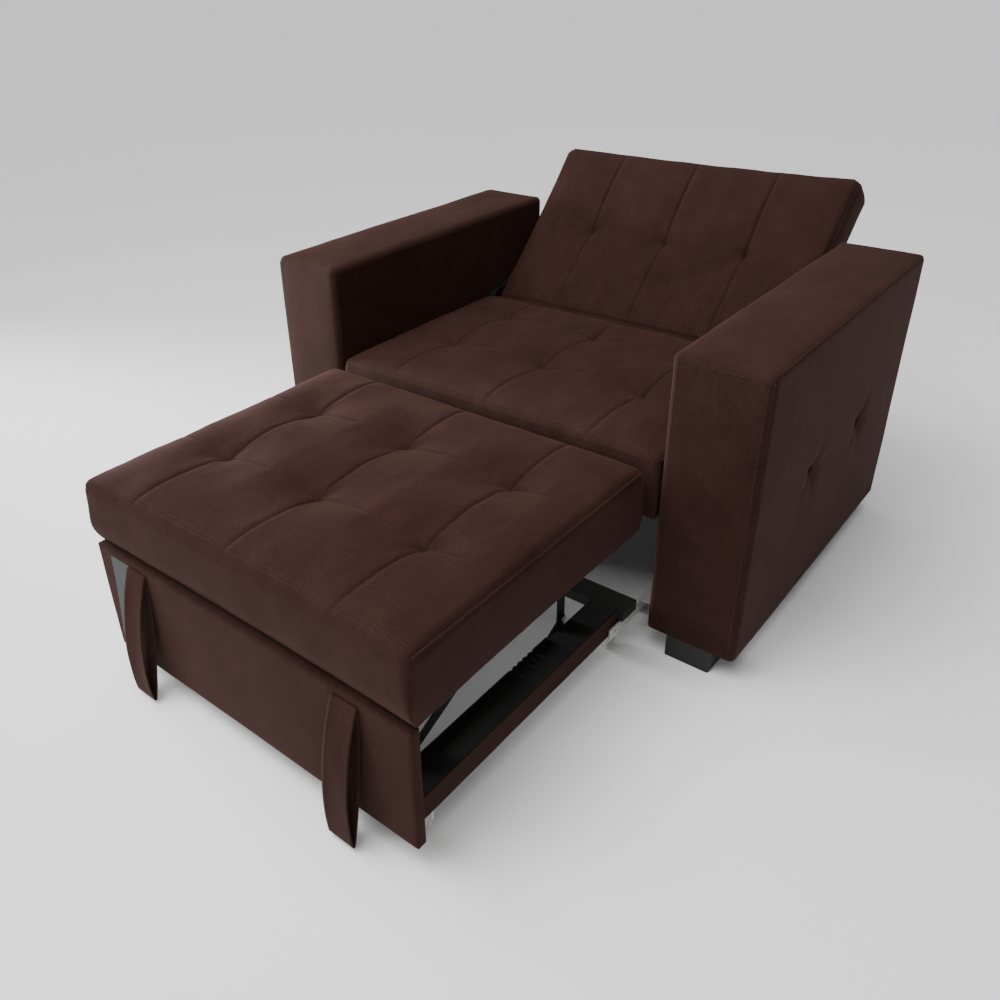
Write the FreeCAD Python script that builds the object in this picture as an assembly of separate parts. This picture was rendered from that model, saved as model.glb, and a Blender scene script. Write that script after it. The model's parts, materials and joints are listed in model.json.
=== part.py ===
import FreeCAD, Part
import math
import os

os.makedirs("parts", exist_ok=True)

V = FreeCAD.Vector

# Convertible chair bed. While it is drawn, x = 0 is the middle, y = 0 the front of the arms and
# z = 0 the floor. +X is on the right of someone who faces the front, and +Y is the rear.

# Arms and legs
seat_gap = 740.0
arm_width = 165.0
arm_depth = 730.0
arm_top = 575.0
arm_edge = 18.0
arm_padding = 12.0
leg_height = 45.0
leg_width = 85.0
leg_depth = 60.0
leg_inset = 40.0
leg_edge = 4.0
board = 20.0
button_radius = 11.0
button_dome = 5.0
button_seat = 0.1
button_height = 264.0
button_from_front = 245.0
button_pitch = 237.0
dimple_radius = 30.0
dimple_depth = 5.0

# Cushions
side_gap = 4.0
seat_bottom = 268.0
seat_thickness = 118.0
seat_depth = 508.0
seat_columns = (-225.0, 0.0, 225.0)
seat_rows = (200.0, 390.0)
pad_width = 715.0
pad_length = 580.0
pad_thickness = 123.0
pad_rear_gap = 30.0
pad_columns = (-220.0, 0.0, 220.0)
pad_rows = (195.0, 400.0)
tuck_in = 16.5
tuck_height = 45.0
lobe_rise = 9.0
crown_rise = 6.0
seam_drop = 2.0
tuft_radius = 16.0
tuft_depth = 9.0
top_round = 20.0
bottom_round = 8.0
side_bow = 3.0
plan_round = 26.0
trim = 1.5
frame_margin = 24.0
frame_height = 42.0
webbing = 2.0
webbing_width = 50.0
webbing_pitch = 95.0
dust_cloth = 1.0

# Back rest and its ratchet hinges
back_width = 715.0
back_length = 430.0
back_thickness = 108.0
back_tilt = 45.5
back_columns = (-190.0, 0.0, 190.0)
back_row = 215.0
hinge_height = 368.0
hinge_rear_gap = 27.0
hinge_nose = 24.0
back_frame_height = 60.0
hinge_plate = 3.0
hinge_plate_radius = 26.0
hinge_arm_length = 170.0
hinge_arm_width = 34.0
ratchet_radius = 21.0
ratchet_teeth = 16
ratchet_notch = 1.8
hinge_screw_head = 2.0
stud_radius = 4.0

# Pull-out base
panel_thickness = 18.0
panel_bottom = 40.0
panel_height = 212.0
panel_edge = 6.0
pad_clearance = 8.0
rail_width = 50.0
rail_height = 45.0
rail_bottom = 60.0
rail_side_gap = 30.0
cross_board_width = 46.0
cross_board_thickness = 20.0
cross_board_overhang = 15.0
cross_rail_depth = 30.0
wheel_radius = 24.0
wheel_width = 18.0
wheel_bore = 3.05
axle_radius = 3.0
fork_wall = 2.5
fork_clearance = 1.0
fork_length = 40.0
wheel_from_end = 30.0
wheel_from_rear = 26.0
tread = 6.0
tread_edge = 2.0
boss_radius = 7.5
bar_height = 22.0
bar_thickness = 3.0
bar_spacer = 5.0
bar_overlap = 75.0
bar_reach = 80.0
bar_hole_radius = 3.5
bar_hole_pitch = 14.0
track_wall = 1.5
track_clearance = 2.0
track_lip = 4.0
track_start = 15.0
track_end_gap = 40.0
bar_bottom = 58.0

# Lift linkage
steel = 3.0
layer_gap = 0.5
rivet_head = 1.5
link_pivot_from_front = 67.0
link_pivot_height = 86.0
link_length = 220.0
link_angle = 29.0
link_crank = 16.0
link_half_width = 9.0
prop_from_rear = 115.0
prop_pivot_drop = 14.0
prop_length = 176.0
prop_half_width = 10.0
rivet_from_top = 134.0
brace_length = 96.6
brace_foot_height = 66.0
brace_half_width = 8.0
pin_radius = 4.0
pin_clearance = 0.06
head_radius = 7.0
plate_height = 47.0
plate_end = 200.0
lug_half_width = 13.0
flange_width = 24.0
catch_pitch = 14.0
catch_depth = 4.0
catch_count = 5
catch_start = 240.0
catch_slope = 0.6
slot_travel = 115.0
slot_radius = 3.0
pin_head = 6.0
foot_stud = 2.5

# Straps and hanging card
strap_width = 50.0
strap_thickness = 1.5
strap_offset = 240.0
strap_top = 250.0
strap_low = 8.0
strap_swing = 36.0
strap_gap = 16.0
strap_fold = 2.5
strap_lean = 0.45
card_sag = 0.35
card_width = 52.0
card_length = 160.0
card_thickness = 1.0
card_left = 318.0
card_swing = 12.0
card_top_gap = 2.0

# Rear of the base
rear_panel_thickness = 18.0
rear_panel_inset = 12.0
rear_panel_clearance = 6.0
support_leg = 30.0
support_inset = 20.0
support_screw_radius = 4.0

# Places worked out from the sizes above
arm_inner = seat_gap / 2
seat_half = arm_inner - side_gap
seat_top = seat_bottom + seat_thickness
pad_front = -pad_rear_gap - pad_length
panel_front = pad_front
panel_top = panel_bottom + panel_height
pad_bottom = panel_top + pad_clearance
hinge_y = seat_depth + hinge_rear_gap
rail_outer = arm_inner - rail_side_gap
rail_inner = rail_outer - rail_width
rail_top = rail_bottom + rail_height
rail_front = panel_front + panel_thickness
rail_rear = -pad_rear_gap + track_start
plate_inner = rail_inner - steel
brace_x = plate_inner - 2 * layer_gap - rivet_head - steel
prop_x = brace_x - layer_gap - steel
link_x = prop_x - layer_gap - steel
lug_x = link_x - layer_gap - steel
link_foot = (pad_front + link_pivot_from_front, link_pivot_height)
link_head = (
    link_foot[0] + link_length * math.cos(math.radians(link_angle)),
    link_foot[1] + link_length * math.sin(math.radians(link_angle)),
)
prop_head = (-pad_rear_gap - prop_from_rear, pad_bottom - prop_pivot_drop)
rivet_at = (prop_head[0], prop_head[1] - rivet_from_top)
brace_drop = rivet_at[1] - brace_foot_height
brace_foot = (rivet_at[0] - math.sqrt(brace_length**2 - brace_drop**2), brace_foot_height)

nodes = {}


def box(x0, x1, y0, y1, z0, z1):
    """A block between two corners."""
    return Part.makeBox(x1 - x0, y1 - y0, z1 - z0, V(x0, y0, z0))


def rod(radius, x0, x1, y, z):
    """A round bar along X."""
    return Part.makeCylinder(radius, x1 - x0, V(x0, y, z), V(1, 0, 0))


def fuse(first, *others):
    """One solid of several."""
    return first.multiFuse(list(others)).removeSplitter()


def mirrored(shape):
    """The same piece on the other side of the middle."""
    return shape.mirror(V(0, 0, 0), V(1, 0, 0))


def pair(name, shape):
    """Keeps a piece of the right side and its twin of the left side."""
    nodes[name + "_right"] = shape
    nodes[name + "_left"] = mirrored(shape)


def arc(a, middle, b):
    """An arc edge through three points."""
    return Part.Arc(a, middle, b).toShape()


def line(a, b):
    """A straight edge."""
    return Part.makeLine(a, b)


def slab(edges, along):
    """A solid pushed out from a closed outline."""
    return Part.Face(Part.Wire(Part.__sortEdges__(edges))).extrude(along)


def scalloped(start, end, low, high, seams, plane, lobes=True, tuck=0.0):
    """The edges of a cushion's section: crowned lobes between sewn seams, rounded ends."""

    def at(s, z):
        return V(s, 0, z) if plane == "xz" else V(0, s, z)

    middle = (start + end) / 2
    half = (end - start) / 2
    stops = [start + top_round] + list(seams) + [end - top_round]

    def crown(s):
        return high + crown_rise * (1 - ((s - middle) / half) ** 2)

    edges = []
    tops = []
    for s in stops:
        outer = s in (stops[0], stops[-1])
        tops.append(at(s, high if outer else crown(s) - seam_drop))
    for left, right, a, b in zip(stops, stops[1:], tops, tops[1:]):
        centre = (left + right) / 2
        rise = lobe_rise if lobes else crown_rise / 2
        edges.append(arc(a, at(centre, (a.z + b.z) / 2 + rise), b))
    diagonal = top_round * (1 - math.sqrt(0.5))
    shoulder = high - top_round
    edges.append(arc(at(start, shoulder), at(start + diagonal, high - diagonal), tops[0]))
    edges.append(arc(at(end, shoulder), at(end - diagonal, high - diagonal), tops[-1]))
    small = bottom_round * (1 - math.sqrt(0.5))
    foot = low + bottom_round
    edges.append(line(at(end, shoulder), at(end, foot)))
    edges.append(arc(at(end, foot), at(end - small, low + small), at(end - bottom_round, low)))
    if tuck:
        radius = (tuck**2 + tuck_height**2) / (2 * tuck)
        rise = tuck_height / 2
        inward = radius - math.sqrt(radius**2 - rise**2)
        edges.append(line(at(start, shoulder), at(start, low + tuck_height)))
        edges.append(
            arc(at(start, low + tuck_height), at(start + inward, low + rise), at(start + tuck, low))
        )
        edges.append(line(at(start + tuck, low), at(end - bottom_round, low)))
    else:
        edges.append(line(at(start, shoulder), at(start, foot)))
        edges.append(
            arc(at(start, foot), at(start + small, low + small), at(start + bottom_round, low))
        )
        edges.append(line(at(start + bottom_round, low), at(end - bottom_round, low)))
    return edges


def plan(half_width, front, rear, low, high):
    """A tall block whose corners are rounded and whose sides are drawn in at the middle."""
    r = plan_round
    k = r * (1 - math.sqrt(0.5))
    mid = (front + rear) / 2
    w = half_width
    edges = [
        arc(V(-w + r, front, 0), V(0, front + side_bow, 0), V(w - r, front, 0)),
        arc(V(w - r, front, 0), V(w - k, front + k, 0), V(w, front + r, 0)),
        arc(V(w, front + r, 0), V(w - side_bow, mid, 0), V(w, rear - r, 0)),
        arc(V(w, rear - r, 0), V(w - k, rear - k, 0), V(w - r, rear, 0)),
        arc(V(w - r, rear, 0), V(0, rear - side_bow, 0), V(-w + r, rear, 0)),
        arc(V(-w + r, rear, 0), V(-w + k, rear - k, 0), V(-w, rear - r, 0)),
        arc(V(-w, rear - r, 0), V(-w + side_bow, mid, 0), V(-w, front + r, 0)),
        arc(V(-w, front + r, 0), V(-w + k, front + k, 0), V(-w + r, front, 0)),
    ]
    solid = slab(edges, V(0, 0, high - low))
    solid.translate(V(0, 0, low))
    return solid


def cushion(half_width, front, rear, low, high, columns, rows, tuck=0.0, rows_sewn=True):
    """A tufted cushion: crowned biscuits between channels, tufts where the channels meet."""
    wide = half_width + trim
    first = front - trim
    last = rear + trim
    across = slab(scalloped(-wide, wide, low, high, columns, "xz"), V(0, last - first, 0))
    across.translate(V(0, first, 0))
    seams = rows if rows_sewn else ()
    along = slab(
        scalloped(first, last, low, high, seams, "yz", rows_sewn, tuck), V(2 * wide, 0, 0)
    )
    along.translate(V(-wide, 0, 0))
    ceiling = high + crown_rise + lobe_rise + 1
    solid = across.common(along).common(plan(half_width, front, rear, low - 1, ceiling))
    valley = high + crown_rise - seam_drop
    tufts = []
    for x in columns:
        for y in rows:
            lift = valley + tuft_radius - tuft_depth
            tufts.append(Part.makeSphere(tuft_radius, V(x, y, lift)))
    return solid.cut(Part.makeCompound(tufts))


def bored_frame(x0, x1, y0, y1, z0, z1):
    """A timber frame of four boards on edge with a middle rail."""
    ring = box(x0, x1, y0, y1, z0, z1).cut(
        box(x0 + board, x1 - board, y0 + board, y1 - board, z0, z1)
    )
    middle = (x0 + x1) / 2
    return fuse(ring, box(middle - board / 2, middle + board / 2, y0, y1, z0, z1))


def webbing_bands(x0, x1, y0, y1, z):
    """Bands of webbing across the top of a frame."""
    bands = []
    count = int((y1 - y0 - webbing_width) // webbing_pitch) + 1
    first = (y0 + y1) / 2 - (count - 1) * webbing_pitch / 2
    for i in range(count):
        y = first + i * webbing_pitch
        bands.append(box(x0, x1, y - webbing_width / 2, y + webbing_width / 2, z, z + webbing))
    return Part.makeCompound(bands)


def flat_bar(a, b, half_width, x, thickness=steel):
    """A flat bar with round ends between two pivots, given as (y, z), standing across X."""
    dy = b[0] - a[0]
    dz = b[1] - a[1]
    length = math.hypot(dy, dz)
    body = Part.makeBox(thickness, length, 2 * half_width, V(x, 0, -half_width))
    body = fuse(
        body,
        Part.makeCylinder(half_width, thickness, V(x, 0, 0), V(1, 0, 0)),
        Part.makeCylinder(half_width, thickness, V(x, length, 0), V(1, 0, 0)),
    )
    body.rotate(V(0, 0, 0), V(1, 0, 0), math.degrees(math.atan2(dz, dy)))
    body.translate(V(0, a[0], a[1]))
    return body


def pivot_hole(x, at):
    """The bore for a pivot pin."""
    return rod(pin_radius + pin_clearance, x - 1, x + steel + 1, at[0], at[1])


def covered_button(face, y, z):
    """A domed button that sits in its dimple on a short shank."""
    sunk = dimple_radius - math.sqrt(dimple_radius**2 - button_radius**2)
    base = sunk + button_seat
    crest = base + button_dome
    sphere = (button_radius**2 + button_dome**2) / (2 * button_dome)
    mid = button_radius / 2
    mid_x = crest - sphere + math.sqrt(sphere**2 - mid**2)
    edges = [
        line(V(base, 0, 0), V(base, button_radius, 0)),
        arc(V(base, button_radius, 0), V(mid_x, mid, 0), V(crest, 0, 0)),
        line(V(crest, 0, 0), V(base, 0, 0)),
    ]
    outline = Part.Face(Part.Wire(Part.__sortEdges__(edges)))
    button = outline.revolve(V(0, 0, 0), V(1, 0, 0), 360)
    button.translate(V(face, y, z))
    shank = rod(button_radius / 4, face + 2 * button_seat, face + base, y, z)
    return fuse(button, shank)


# Arms: a timber frame with an inner board, and its padded cover
def arm():
    x0 = arm_inner
    x1 = arm_inner + arm_width
    cover = box(x0, x1, 0, arm_depth, leg_height, arm_top)
    rounded = []
    for edge in cover.Edges:
        ends = [v.Point for v in edge.Vertexes]
        low = min(p.z for p in ends)
        high = max(p.z for p in ends)
        if high - low > 1 or low > leg_height + 1:
            rounded.append(edge)
    cover = cover.makeFillet(arm_edge, rounded)
    p = arm_padding
    hollow = (x0 + p, x1 - p, p, arm_depth - p, leg_height, arm_top - p)
    cover = cover.cut(box(*hollow))
    lift = dimple_radius - dimple_depth
    buttons = []
    for i in range(2):
        y = button_from_front + i * button_pitch
        z = leg_height + button_height
        cover = cover.cut(Part.makeSphere(dimple_radius, V(x1 + lift, y, z)))
        buttons.append(covered_button(x1 - dimple_depth, y, z))
    hx0, hx1, hy0, hy1, hz0, hz1 = hollow
    frame = box(hx0, hx1, hy0, hy1, hz0, hz1).cut(
        box(hx0, hx1, hy0 + board, hy1 - board, hz0 + board, hz1 - board)
    )
    inner_board = box(hx0, hx0 + board / 2, hy0, hy1, hz0, hz1)
    return cover, fuse(frame, inner_board), buttons


arm_cover, arm_frame, right_buttons = arm()
pair("arm_cover", arm_cover)
pair("arm_frame", arm_frame)
nodes["arm_buttons"] = Part.makeCompound(right_buttons + [mirrored(b) for b in right_buttons])


def leg(y):
    x = arm_inner + leg_inset
    block = box(x, x + leg_width, y, y + leg_depth, 0, leg_height)
    upright = [e for e in block.Edges if abs(e.Vertexes[0].Z - e.Vertexes[1].Z) > 1]
    return block.makeFillet(leg_edge, upright)


pair("leg_front", leg(0))
pair("leg_rear", leg(arm_depth - leg_depth))

# Seat
seat_form = cushion(seat_half, 0, seat_depth, seat_bottom, seat_top, seat_columns, seat_rows)
seat_x = seat_half - frame_margin
seat_y0 = frame_margin
seat_y1 = seat_depth - frame_margin
seat_floor = seat_bottom + dust_cloth
seat_deck = seat_floor + frame_height
seat_pocket = box(-seat_x, seat_x, seat_y0, seat_y1, seat_bottom, seat_deck + webbing)
nodes["seat_cushion"] = seat_form.cut(seat_pocket)
nodes["seat_frame"] = bored_frame(-seat_x, seat_x, seat_y0, seat_y1, seat_floor, seat_deck)
nodes["seat_webbing"] = webbing_bands(-seat_x, seat_x, seat_y0, seat_y1, seat_deck)
nodes["seat_dust_cloth"] = box(-seat_x, seat_x, seat_y0, seat_y1, seat_bottom, seat_floor)


def seat_support():
    y0 = support_inset
    y1 = seat_depth - support_inset
    x1 = arm_inner
    top = seat_bottom
    angle = fuse(
        box(x1 - support_leg, x1, y0, y1, top - steel, top),
        box(x1 - steel, x1, y0, y1, top - support_leg, top),
    )
    heads = []
    for y in (y0 + support_leg, (y0 + y1) / 2, y1 - support_leg):
        z = top - support_leg / 2
        heads.append(rod(support_screw_radius, x1 - 2 * steel, x1 - steel, y, z))
    return fuse(angle, *heads)


pair("seat_support", seat_support())

rear_y = arm_depth - rear_panel_inset
nodes["rear_panel"] = box(
    -arm_inner,
    arm_inner,
    rear_y - rear_panel_thickness,
    rear_y,
    leg_height,
    seat_bottom - rear_panel_clearance,
)

# Drawer guides: a lipped channel on the arm and a perforated bar that runs in it
bar_x = rail_outer + bar_spacer
bar_top = bar_bottom + bar_height


def guide_track():
    z0 = bar_bottom - track_clearance - track_wall
    z1 = bar_top + track_clearance + track_wall
    x0 = bar_x - layer_gap - track_wall
    x1 = arm_inner
    y0 = track_start
    y1 = arm_depth - track_end_gap
    w = track_wall
    channel = box(x0, x1, y0, y1, z0, z1)
    channel = channel.cut(box(x0 + w, x1 - w, y0, y1, z0 + w, z1 - w))
    opening = box(x0, x0 + w, y0, y1, z0 + w + track_lip, z1 - w - track_lip)
    return channel.cut(opening)


def guide_bar():
    y0 = rail_rear - bar_overlap
    y1 = rail_rear + bar_reach
    middle = bar_bottom + bar_height / 2
    bar = box(bar_x, bar_x + bar_thickness, y0, y1, bar_bottom, bar_top)
    holes = []
    y = rail_rear + bar_hole_pitch
    while y < y1 - bar_hole_radius - 1:
        holes.append(rod(bar_hole_radius, bar_x - 1, bar_x + bar_thickness + 1, y, middle))
        y += bar_hole_pitch
    bar = bar.cut(Part.makeCompound(holes))
    bolts = []
    for y in (y0 + bar_hole_pitch, rail_rear - bar_hole_pitch):
        bolts.append(rod(head_radius, rail_outer, bar_x, y, middle))
        bolts.append(rod(pin_radius, bar_x, bar_x + 2 * bar_thickness, y, middle))
    return fuse(bar, *bolts)


pair("guide_track", guide_track())
pair("guide_bar", guide_bar())


# Drawer frame and front panel
def drawer_rail():
    rail = box(rail_inner, rail_outer, rail_front, rail_rear, rail_bottom, rail_top)
    lap = box(
        rail_inner,
        rail_outer,
        rail_rear - cross_board_width,
        rail_rear,
        rail_top - cross_board_thickness,
        rail_top,
    )
    return rail.cut(lap)


pair("drawer_rail", drawer_rail())
board_half = rail_outer + cross_board_overhang
nodes["rear_cross_board"] = box(
    -board_half,
    board_half,
    rail_rear - cross_board_width,
    rail_rear,
    rail_top - cross_board_thickness,
    rail_top,
)
nodes["front_cross_rail"] = box(
    -rail_inner, rail_inner, rail_front, rail_front + cross_rail_depth, rail_bottom, rail_top
)


def front_panel():
    half = pad_width / 2
    y0 = panel_front
    y1 = rail_front
    r = panel_thickness / 2
    e = panel_edge
    k = e * (1 - math.sqrt(0.5))
    crest = panel_top - r
    low = panel_bottom
    edges = [
        arc(V(0, y0, crest), V(0, y0 + r, panel_top), V(0, y1, crest)),
        line(V(0, y1, crest), V(0, y1, low + e)),
        arc(V(0, y1, low + e), V(0, y1 - k, low + k), V(0, y1 - e, low)),
        line(V(0, y1 - e, low), V(0, y0 + e, low)),
        arc(V(0, y0 + e, low), V(0, y0 + k, low + k), V(0, y0, low + e)),
        line(V(0, y0, low + e), V(0, y0, crest)),
    ]
    solid = slab(edges, V(2 * half, 0, 0))
    solid.translate(V(-half, 0, 0))
    return solid


nodes["front_panel"] = front_panel()

# Casters under the rails
wheel_x = (rail_inner + rail_outer) / 2
caster_places = {"front": rail_front + wheel_from_end, "rear": rail_rear - wheel_from_rear}


def caster_fork(y):
    half = wheel_width / 2 + fork_clearance
    outer = half + fork_wall
    top = rail_bottom
    reach = fork_length / 2
    plate = box(wheel_x - outer, wheel_x + outer, y - reach, y + reach, top - fork_wall, top)
    cheeks = []
    for x in (wheel_x - outer, wheel_x + half):
        foot = rod(boss_radius, x, x + fork_wall, y, wheel_radius)
        a = V(x, y - reach, top)
        b = V(x, y + reach, top)
        c = V(x, y + boss_radius, wheel_radius)
        d = V(x, y - boss_radius, wheel_radius)
        blade = slab([line(a, b), line(b, c), line(c, d), line(d, a)], V(fork_wall, 0, 0))
        cheeks += [foot, blade]
    axle = rod(axle_radius, wheel_x - outer, wheel_x + outer, y, wheel_radius)
    return fuse(plate, axle, *cheeks)


def caster_wheel(y):
    half = wheel_width / 2
    wheel = rod(wheel_radius, wheel_x - half, wheel_x + half, y, wheel_radius)
    rims = [e for e in wheel.Edges if e.Curve.TypeId == "Part::GeomCircle"]
    wheel = wheel.makeFillet(tread_edge, rims)
    groove = wheel_radius - tread
    for x in (wheel_x - half, wheel_x + half - tread_edge):
        ring = rod(groove, x, x + tread_edge, y, wheel_radius)
        wheel = wheel.cut(ring.cut(rod(groove / 2, x, x + tread_edge, y, wheel_radius)))
    return wheel.cut(rod(wheel_bore, wheel_x - half, wheel_x + half, y, wheel_radius))


for place, y in caster_places.items():
    pair("caster_fork_" + place, caster_fork(y))
    pair("caster_wheel_" + place, caster_wheel(y))


# Lift linkage, right side
def rail_plate():
    y0 = rail_front + cross_rail_depth
    y1 = -plate_end
    z0 = rail_bottom + 2
    plate = box(plate_inner, rail_inner, y0, y1, z0, z0 + plate_height)
    notches = []
    for i in range(catch_count):
        y = -catch_start - i * catch_pitch
        z = z0 + plate_height
        a = V(plate_inner, y, z - catch_depth)
        b = V(plate_inner, y, z)
        c = V(plate_inner, y - catch_pitch * catch_slope, z)
        notches.append(slab([line(a, b), line(b, c), line(c, a)], V(steel, 0, 0)))
    slot_from = brace_foot[0] + pin_radius + 1
    slot_to = brace_foot[0] - slot_travel
    slot = fuse(
        box(
            plate_inner,
            rail_inner,
            slot_to,
            slot_from,
            brace_foot[1] - slot_radius,
            brace_foot[1] + slot_radius,
        ),
        rod(slot_radius, plate_inner, rail_inner, slot_to, brace_foot[1]),
        rod(slot_radius, plate_inner, rail_inner, slot_from, brace_foot[1]),
    )
    plate = plate.cut(Part.makeCompound(notches)).cut(slot)
    collar = rod(head_radius, link_x + steel + layer_gap, plate_inner, *link_foot)
    return fuse(plate, collar)


def foot_pin():
    inner = link_x - layer_gap - rivet_head
    pin = rod(pin_radius, inner, link_x + steel + layer_gap, *link_foot)
    return fuse(pin, rod(head_radius, inner, link_x - layer_gap, *link_foot))


def lift_link():
    bend = (link_foot[0], link_foot[1] + link_crank)
    bar = fuse(
        flat_bar(link_foot, bend, link_half_width, link_x),
        flat_bar(bend, link_head, link_half_width, link_x),
    )
    return bar.cut(pivot_hole(link_x, link_foot)).cut(pivot_hole(link_x, link_head))


def pad_bracket():
    x1 = brace_x + steel
    x0 = x1 - flange_width
    y0 = link_head[0] - 2 * lug_half_width
    y1 = prop_head[0] + 2 * lug_half_width
    z1 = pad_bottom
    flange = box(x0, x1, y0, y1, z1 - steel, z1)
    lugs = []
    for x, at in ((lug_x, link_head), (link_x, prop_head)):
        lug = box(x, x + steel, at[0] - lug_half_width, at[0] + lug_half_width, at[1], z1)
        lugs += [lug, rod(lug_half_width, x, x + steel, *at)]
    return fuse(flange, *lugs)


def pad_pins():
    pins = []
    for x, at in ((lug_x, link_head), (link_x, prop_head)):
        start = x + steel
        end = start + layer_gap + steel + layer_gap
        head = rod(pin_head, end, end + rivet_head, *at)
        pins.append(fuse(rod(pin_radius, start, end, *at), head))
    return pins


def prop():
    foot = (prop_head[0], prop_head[1] - prop_length)
    bar = flat_bar(prop_head, foot, prop_half_width, prop_x)
    bar = bar.cut(pivot_hole(prop_x, prop_head))
    end = brace_x + steel + layer_gap
    rivet = fuse(
        rod(pin_radius, prop_x + steel, end, *rivet_at),
        rod(pin_head, end, end + rivet_head, *rivet_at),
    )
    return fuse(bar, rivet)


def brace():
    bar = flat_bar(rivet_at, brace_foot, brace_half_width, brace_x)
    stud = rod(foot_stud, brace_x + steel, plate_inner - layer_gap, *brace_foot)
    return fuse(bar, stud).cut(pivot_hole(brace_x, rivet_at))


pair("lift_rail_plate", rail_plate())
pair("lift_link", lift_link())
pair("pad_bracket", pad_bracket())
pair("prop", prop())
pair("brace", brace())
nodes["link_foot_pins"] = Part.makeCompound([foot_pin(), mirrored(foot_pin())])
nodes["pad_pivot_pins"] = Part.makeCompound(pad_pins() + [mirrored(p) for p in pad_pins()])

# Lifting pad
pad_rear = -pad_rear_gap
pad_top = pad_bottom + pad_thickness
pad_half = pad_width / 2
pad_form = cushion(
    pad_half,
    pad_front,
    pad_rear,
    pad_bottom,
    pad_top,
    pad_columns,
    [pad_front + r for r in pad_rows],
    tuck_in,
)
pad_x = pad_half - frame_margin
pad_y0 = pad_front + frame_margin
pad_y1 = pad_rear - frame_margin
pad_floor = pad_bottom + dust_cloth
pad_deck = pad_floor + frame_height
pad_pocket = box(-pad_x, pad_x, pad_y0, pad_y1, pad_bottom, pad_deck + webbing)
nodes["pad_cushion"] = pad_form.cut(pad_pocket)
nodes["pad_frame"] = bored_frame(-pad_x, pad_x, pad_y0, pad_y1, pad_floor, pad_deck)
nodes["pad_webbing"] = webbing_bands(-pad_x, pad_x, pad_y0, pad_y1, pad_deck)
nodes["pad_dust_cloth"] = box(-pad_x, pad_x, pad_y0, pad_y1, pad_bottom, pad_floor)


# Back rest, drawn lying flat with its hinge axis along X through the origin, then tilted
def tilted(shape):
    shape.rotate(V(0, 0, 0), V(1, 0, 0), back_tilt)
    shape.translate(V(0, hinge_y, hinge_height))
    return shape


back_half = back_width / 2
back_low = hinge_nose - back_thickness


def back_pieces():
    form = cushion(
        back_half,
        -hinge_nose,
        back_length,
        back_low,
        hinge_nose - lobe_rise - crown_rise / 2,
        back_columns,
        (back_row,),
        rows_sewn=False,
    )
    nose_zone = box(-back_half, back_half, -hinge_nose, 0, back_low, hinge_nose + lobe_rise)
    nose = rod(hinge_nose, -back_half, back_half, 0, 0)
    form = form.cut(nose_zone.cut(nose))
    x = back_half - frame_margin
    y0 = frame_margin
    y1 = back_length - frame_margin
    top = back_low + back_frame_height
    pocket = box(-x, x, y0, y1, back_low, top)
    frame = bored_frame(-x, x, y0, y1, back_low + dust_cloth, top)
    cloth = box(-x, x, y0, y1, back_low, back_low + dust_cloth)
    return form.cut(pocket), frame, cloth


back_cushion, back_frame, back_cloth = back_pieces()
plate_x = back_half + layer_gap
stud_z = back_low + back_frame_height / 2


def moving_plate():
    plate = flat_bar((0, 0), (hinge_arm_length, stud_z), hinge_arm_width / 2, plate_x)
    head = rod(hinge_plate_radius, plate_x, plate_x + hinge_plate, 0, 0)
    plate = fuse(plate, head).cut(pivot_hole(plate_x, (0, 0)))
    slope = stud_z / hinge_arm_length
    studs = []
    for y in (0.55 * hinge_arm_length, hinge_arm_length):
        z = slope * y
        studs.append(rod(stud_radius, back_half - frame_margin, plate_x, y, z))
        end = plate_x + hinge_plate + hinge_screw_head
        studs.append(rod(1.5 * stud_radius, plate_x, end, y, z))
    return fuse(plate, *studs), Part.makeCompound([s for s in studs])


def fixed_plate():
    x0 = arm_inner - hinge_plate
    ring_x = plate_x + hinge_plate + layer_gap
    plate = fuse(
        rod(hinge_plate_radius, x0, arm_inner, hinge_y, hinge_height),
        flat_bar(
            (hinge_y, hinge_height),
            (hinge_y + 1.5 * hinge_plate_radius, hinge_height - 3 * hinge_plate_radius),
            hinge_arm_width / 2,
            x0,
        ),
    )
    wheel = rod(ratchet_radius, ring_x, x0, hinge_y, hinge_height)
    gaps = []
    for i in range(ratchet_teeth):
        angle = 2 * math.pi * i / ratchet_teeth
        y = hinge_y + ratchet_radius * math.cos(angle)
        z = hinge_height + ratchet_radius * math.sin(angle)
        gaps.append(rod(ratchet_notch, ring_x, x0, y, z))
    wheel = wheel.cut(Part.makeCompound(gaps))
    pin = rod(pin_radius, back_half - hinge_nose / 2, x0, hinge_y, hinge_height)
    foot_y = hinge_y + 1.5 * hinge_plate_radius
    foot_z = hinge_height - 3 * hinge_plate_radius
    screw = rod(stud_radius, x0 - hinge_screw_head, x0, foot_y, foot_z)
    return fuse(plate, wheel, pin, screw)


plate_right, studs_right = moving_plate()
pin_bore = rod(pin_radius + pin_clearance, back_half - hinge_nose, back_half + 1, 0, 0)
back_cushion = back_cushion.cut(pin_bore).cut(mirrored(pin_bore))
back_cushion = back_cushion.cut(studs_right).cut(mirrored(studs_right))
nodes["back_cushion"] = tilted(back_cushion)
nodes["back_frame"] = tilted(back_frame)
nodes["back_rear_cloth"] = tilted(back_cloth)
moving_left = mirrored(plate_right)
nodes["hinge_plate_moving_right"] = tilted(plate_right)
nodes["hinge_plate_moving_left"] = tilted(moving_left)
pair("hinge_plate_fixed", fixed_plate())


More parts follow.
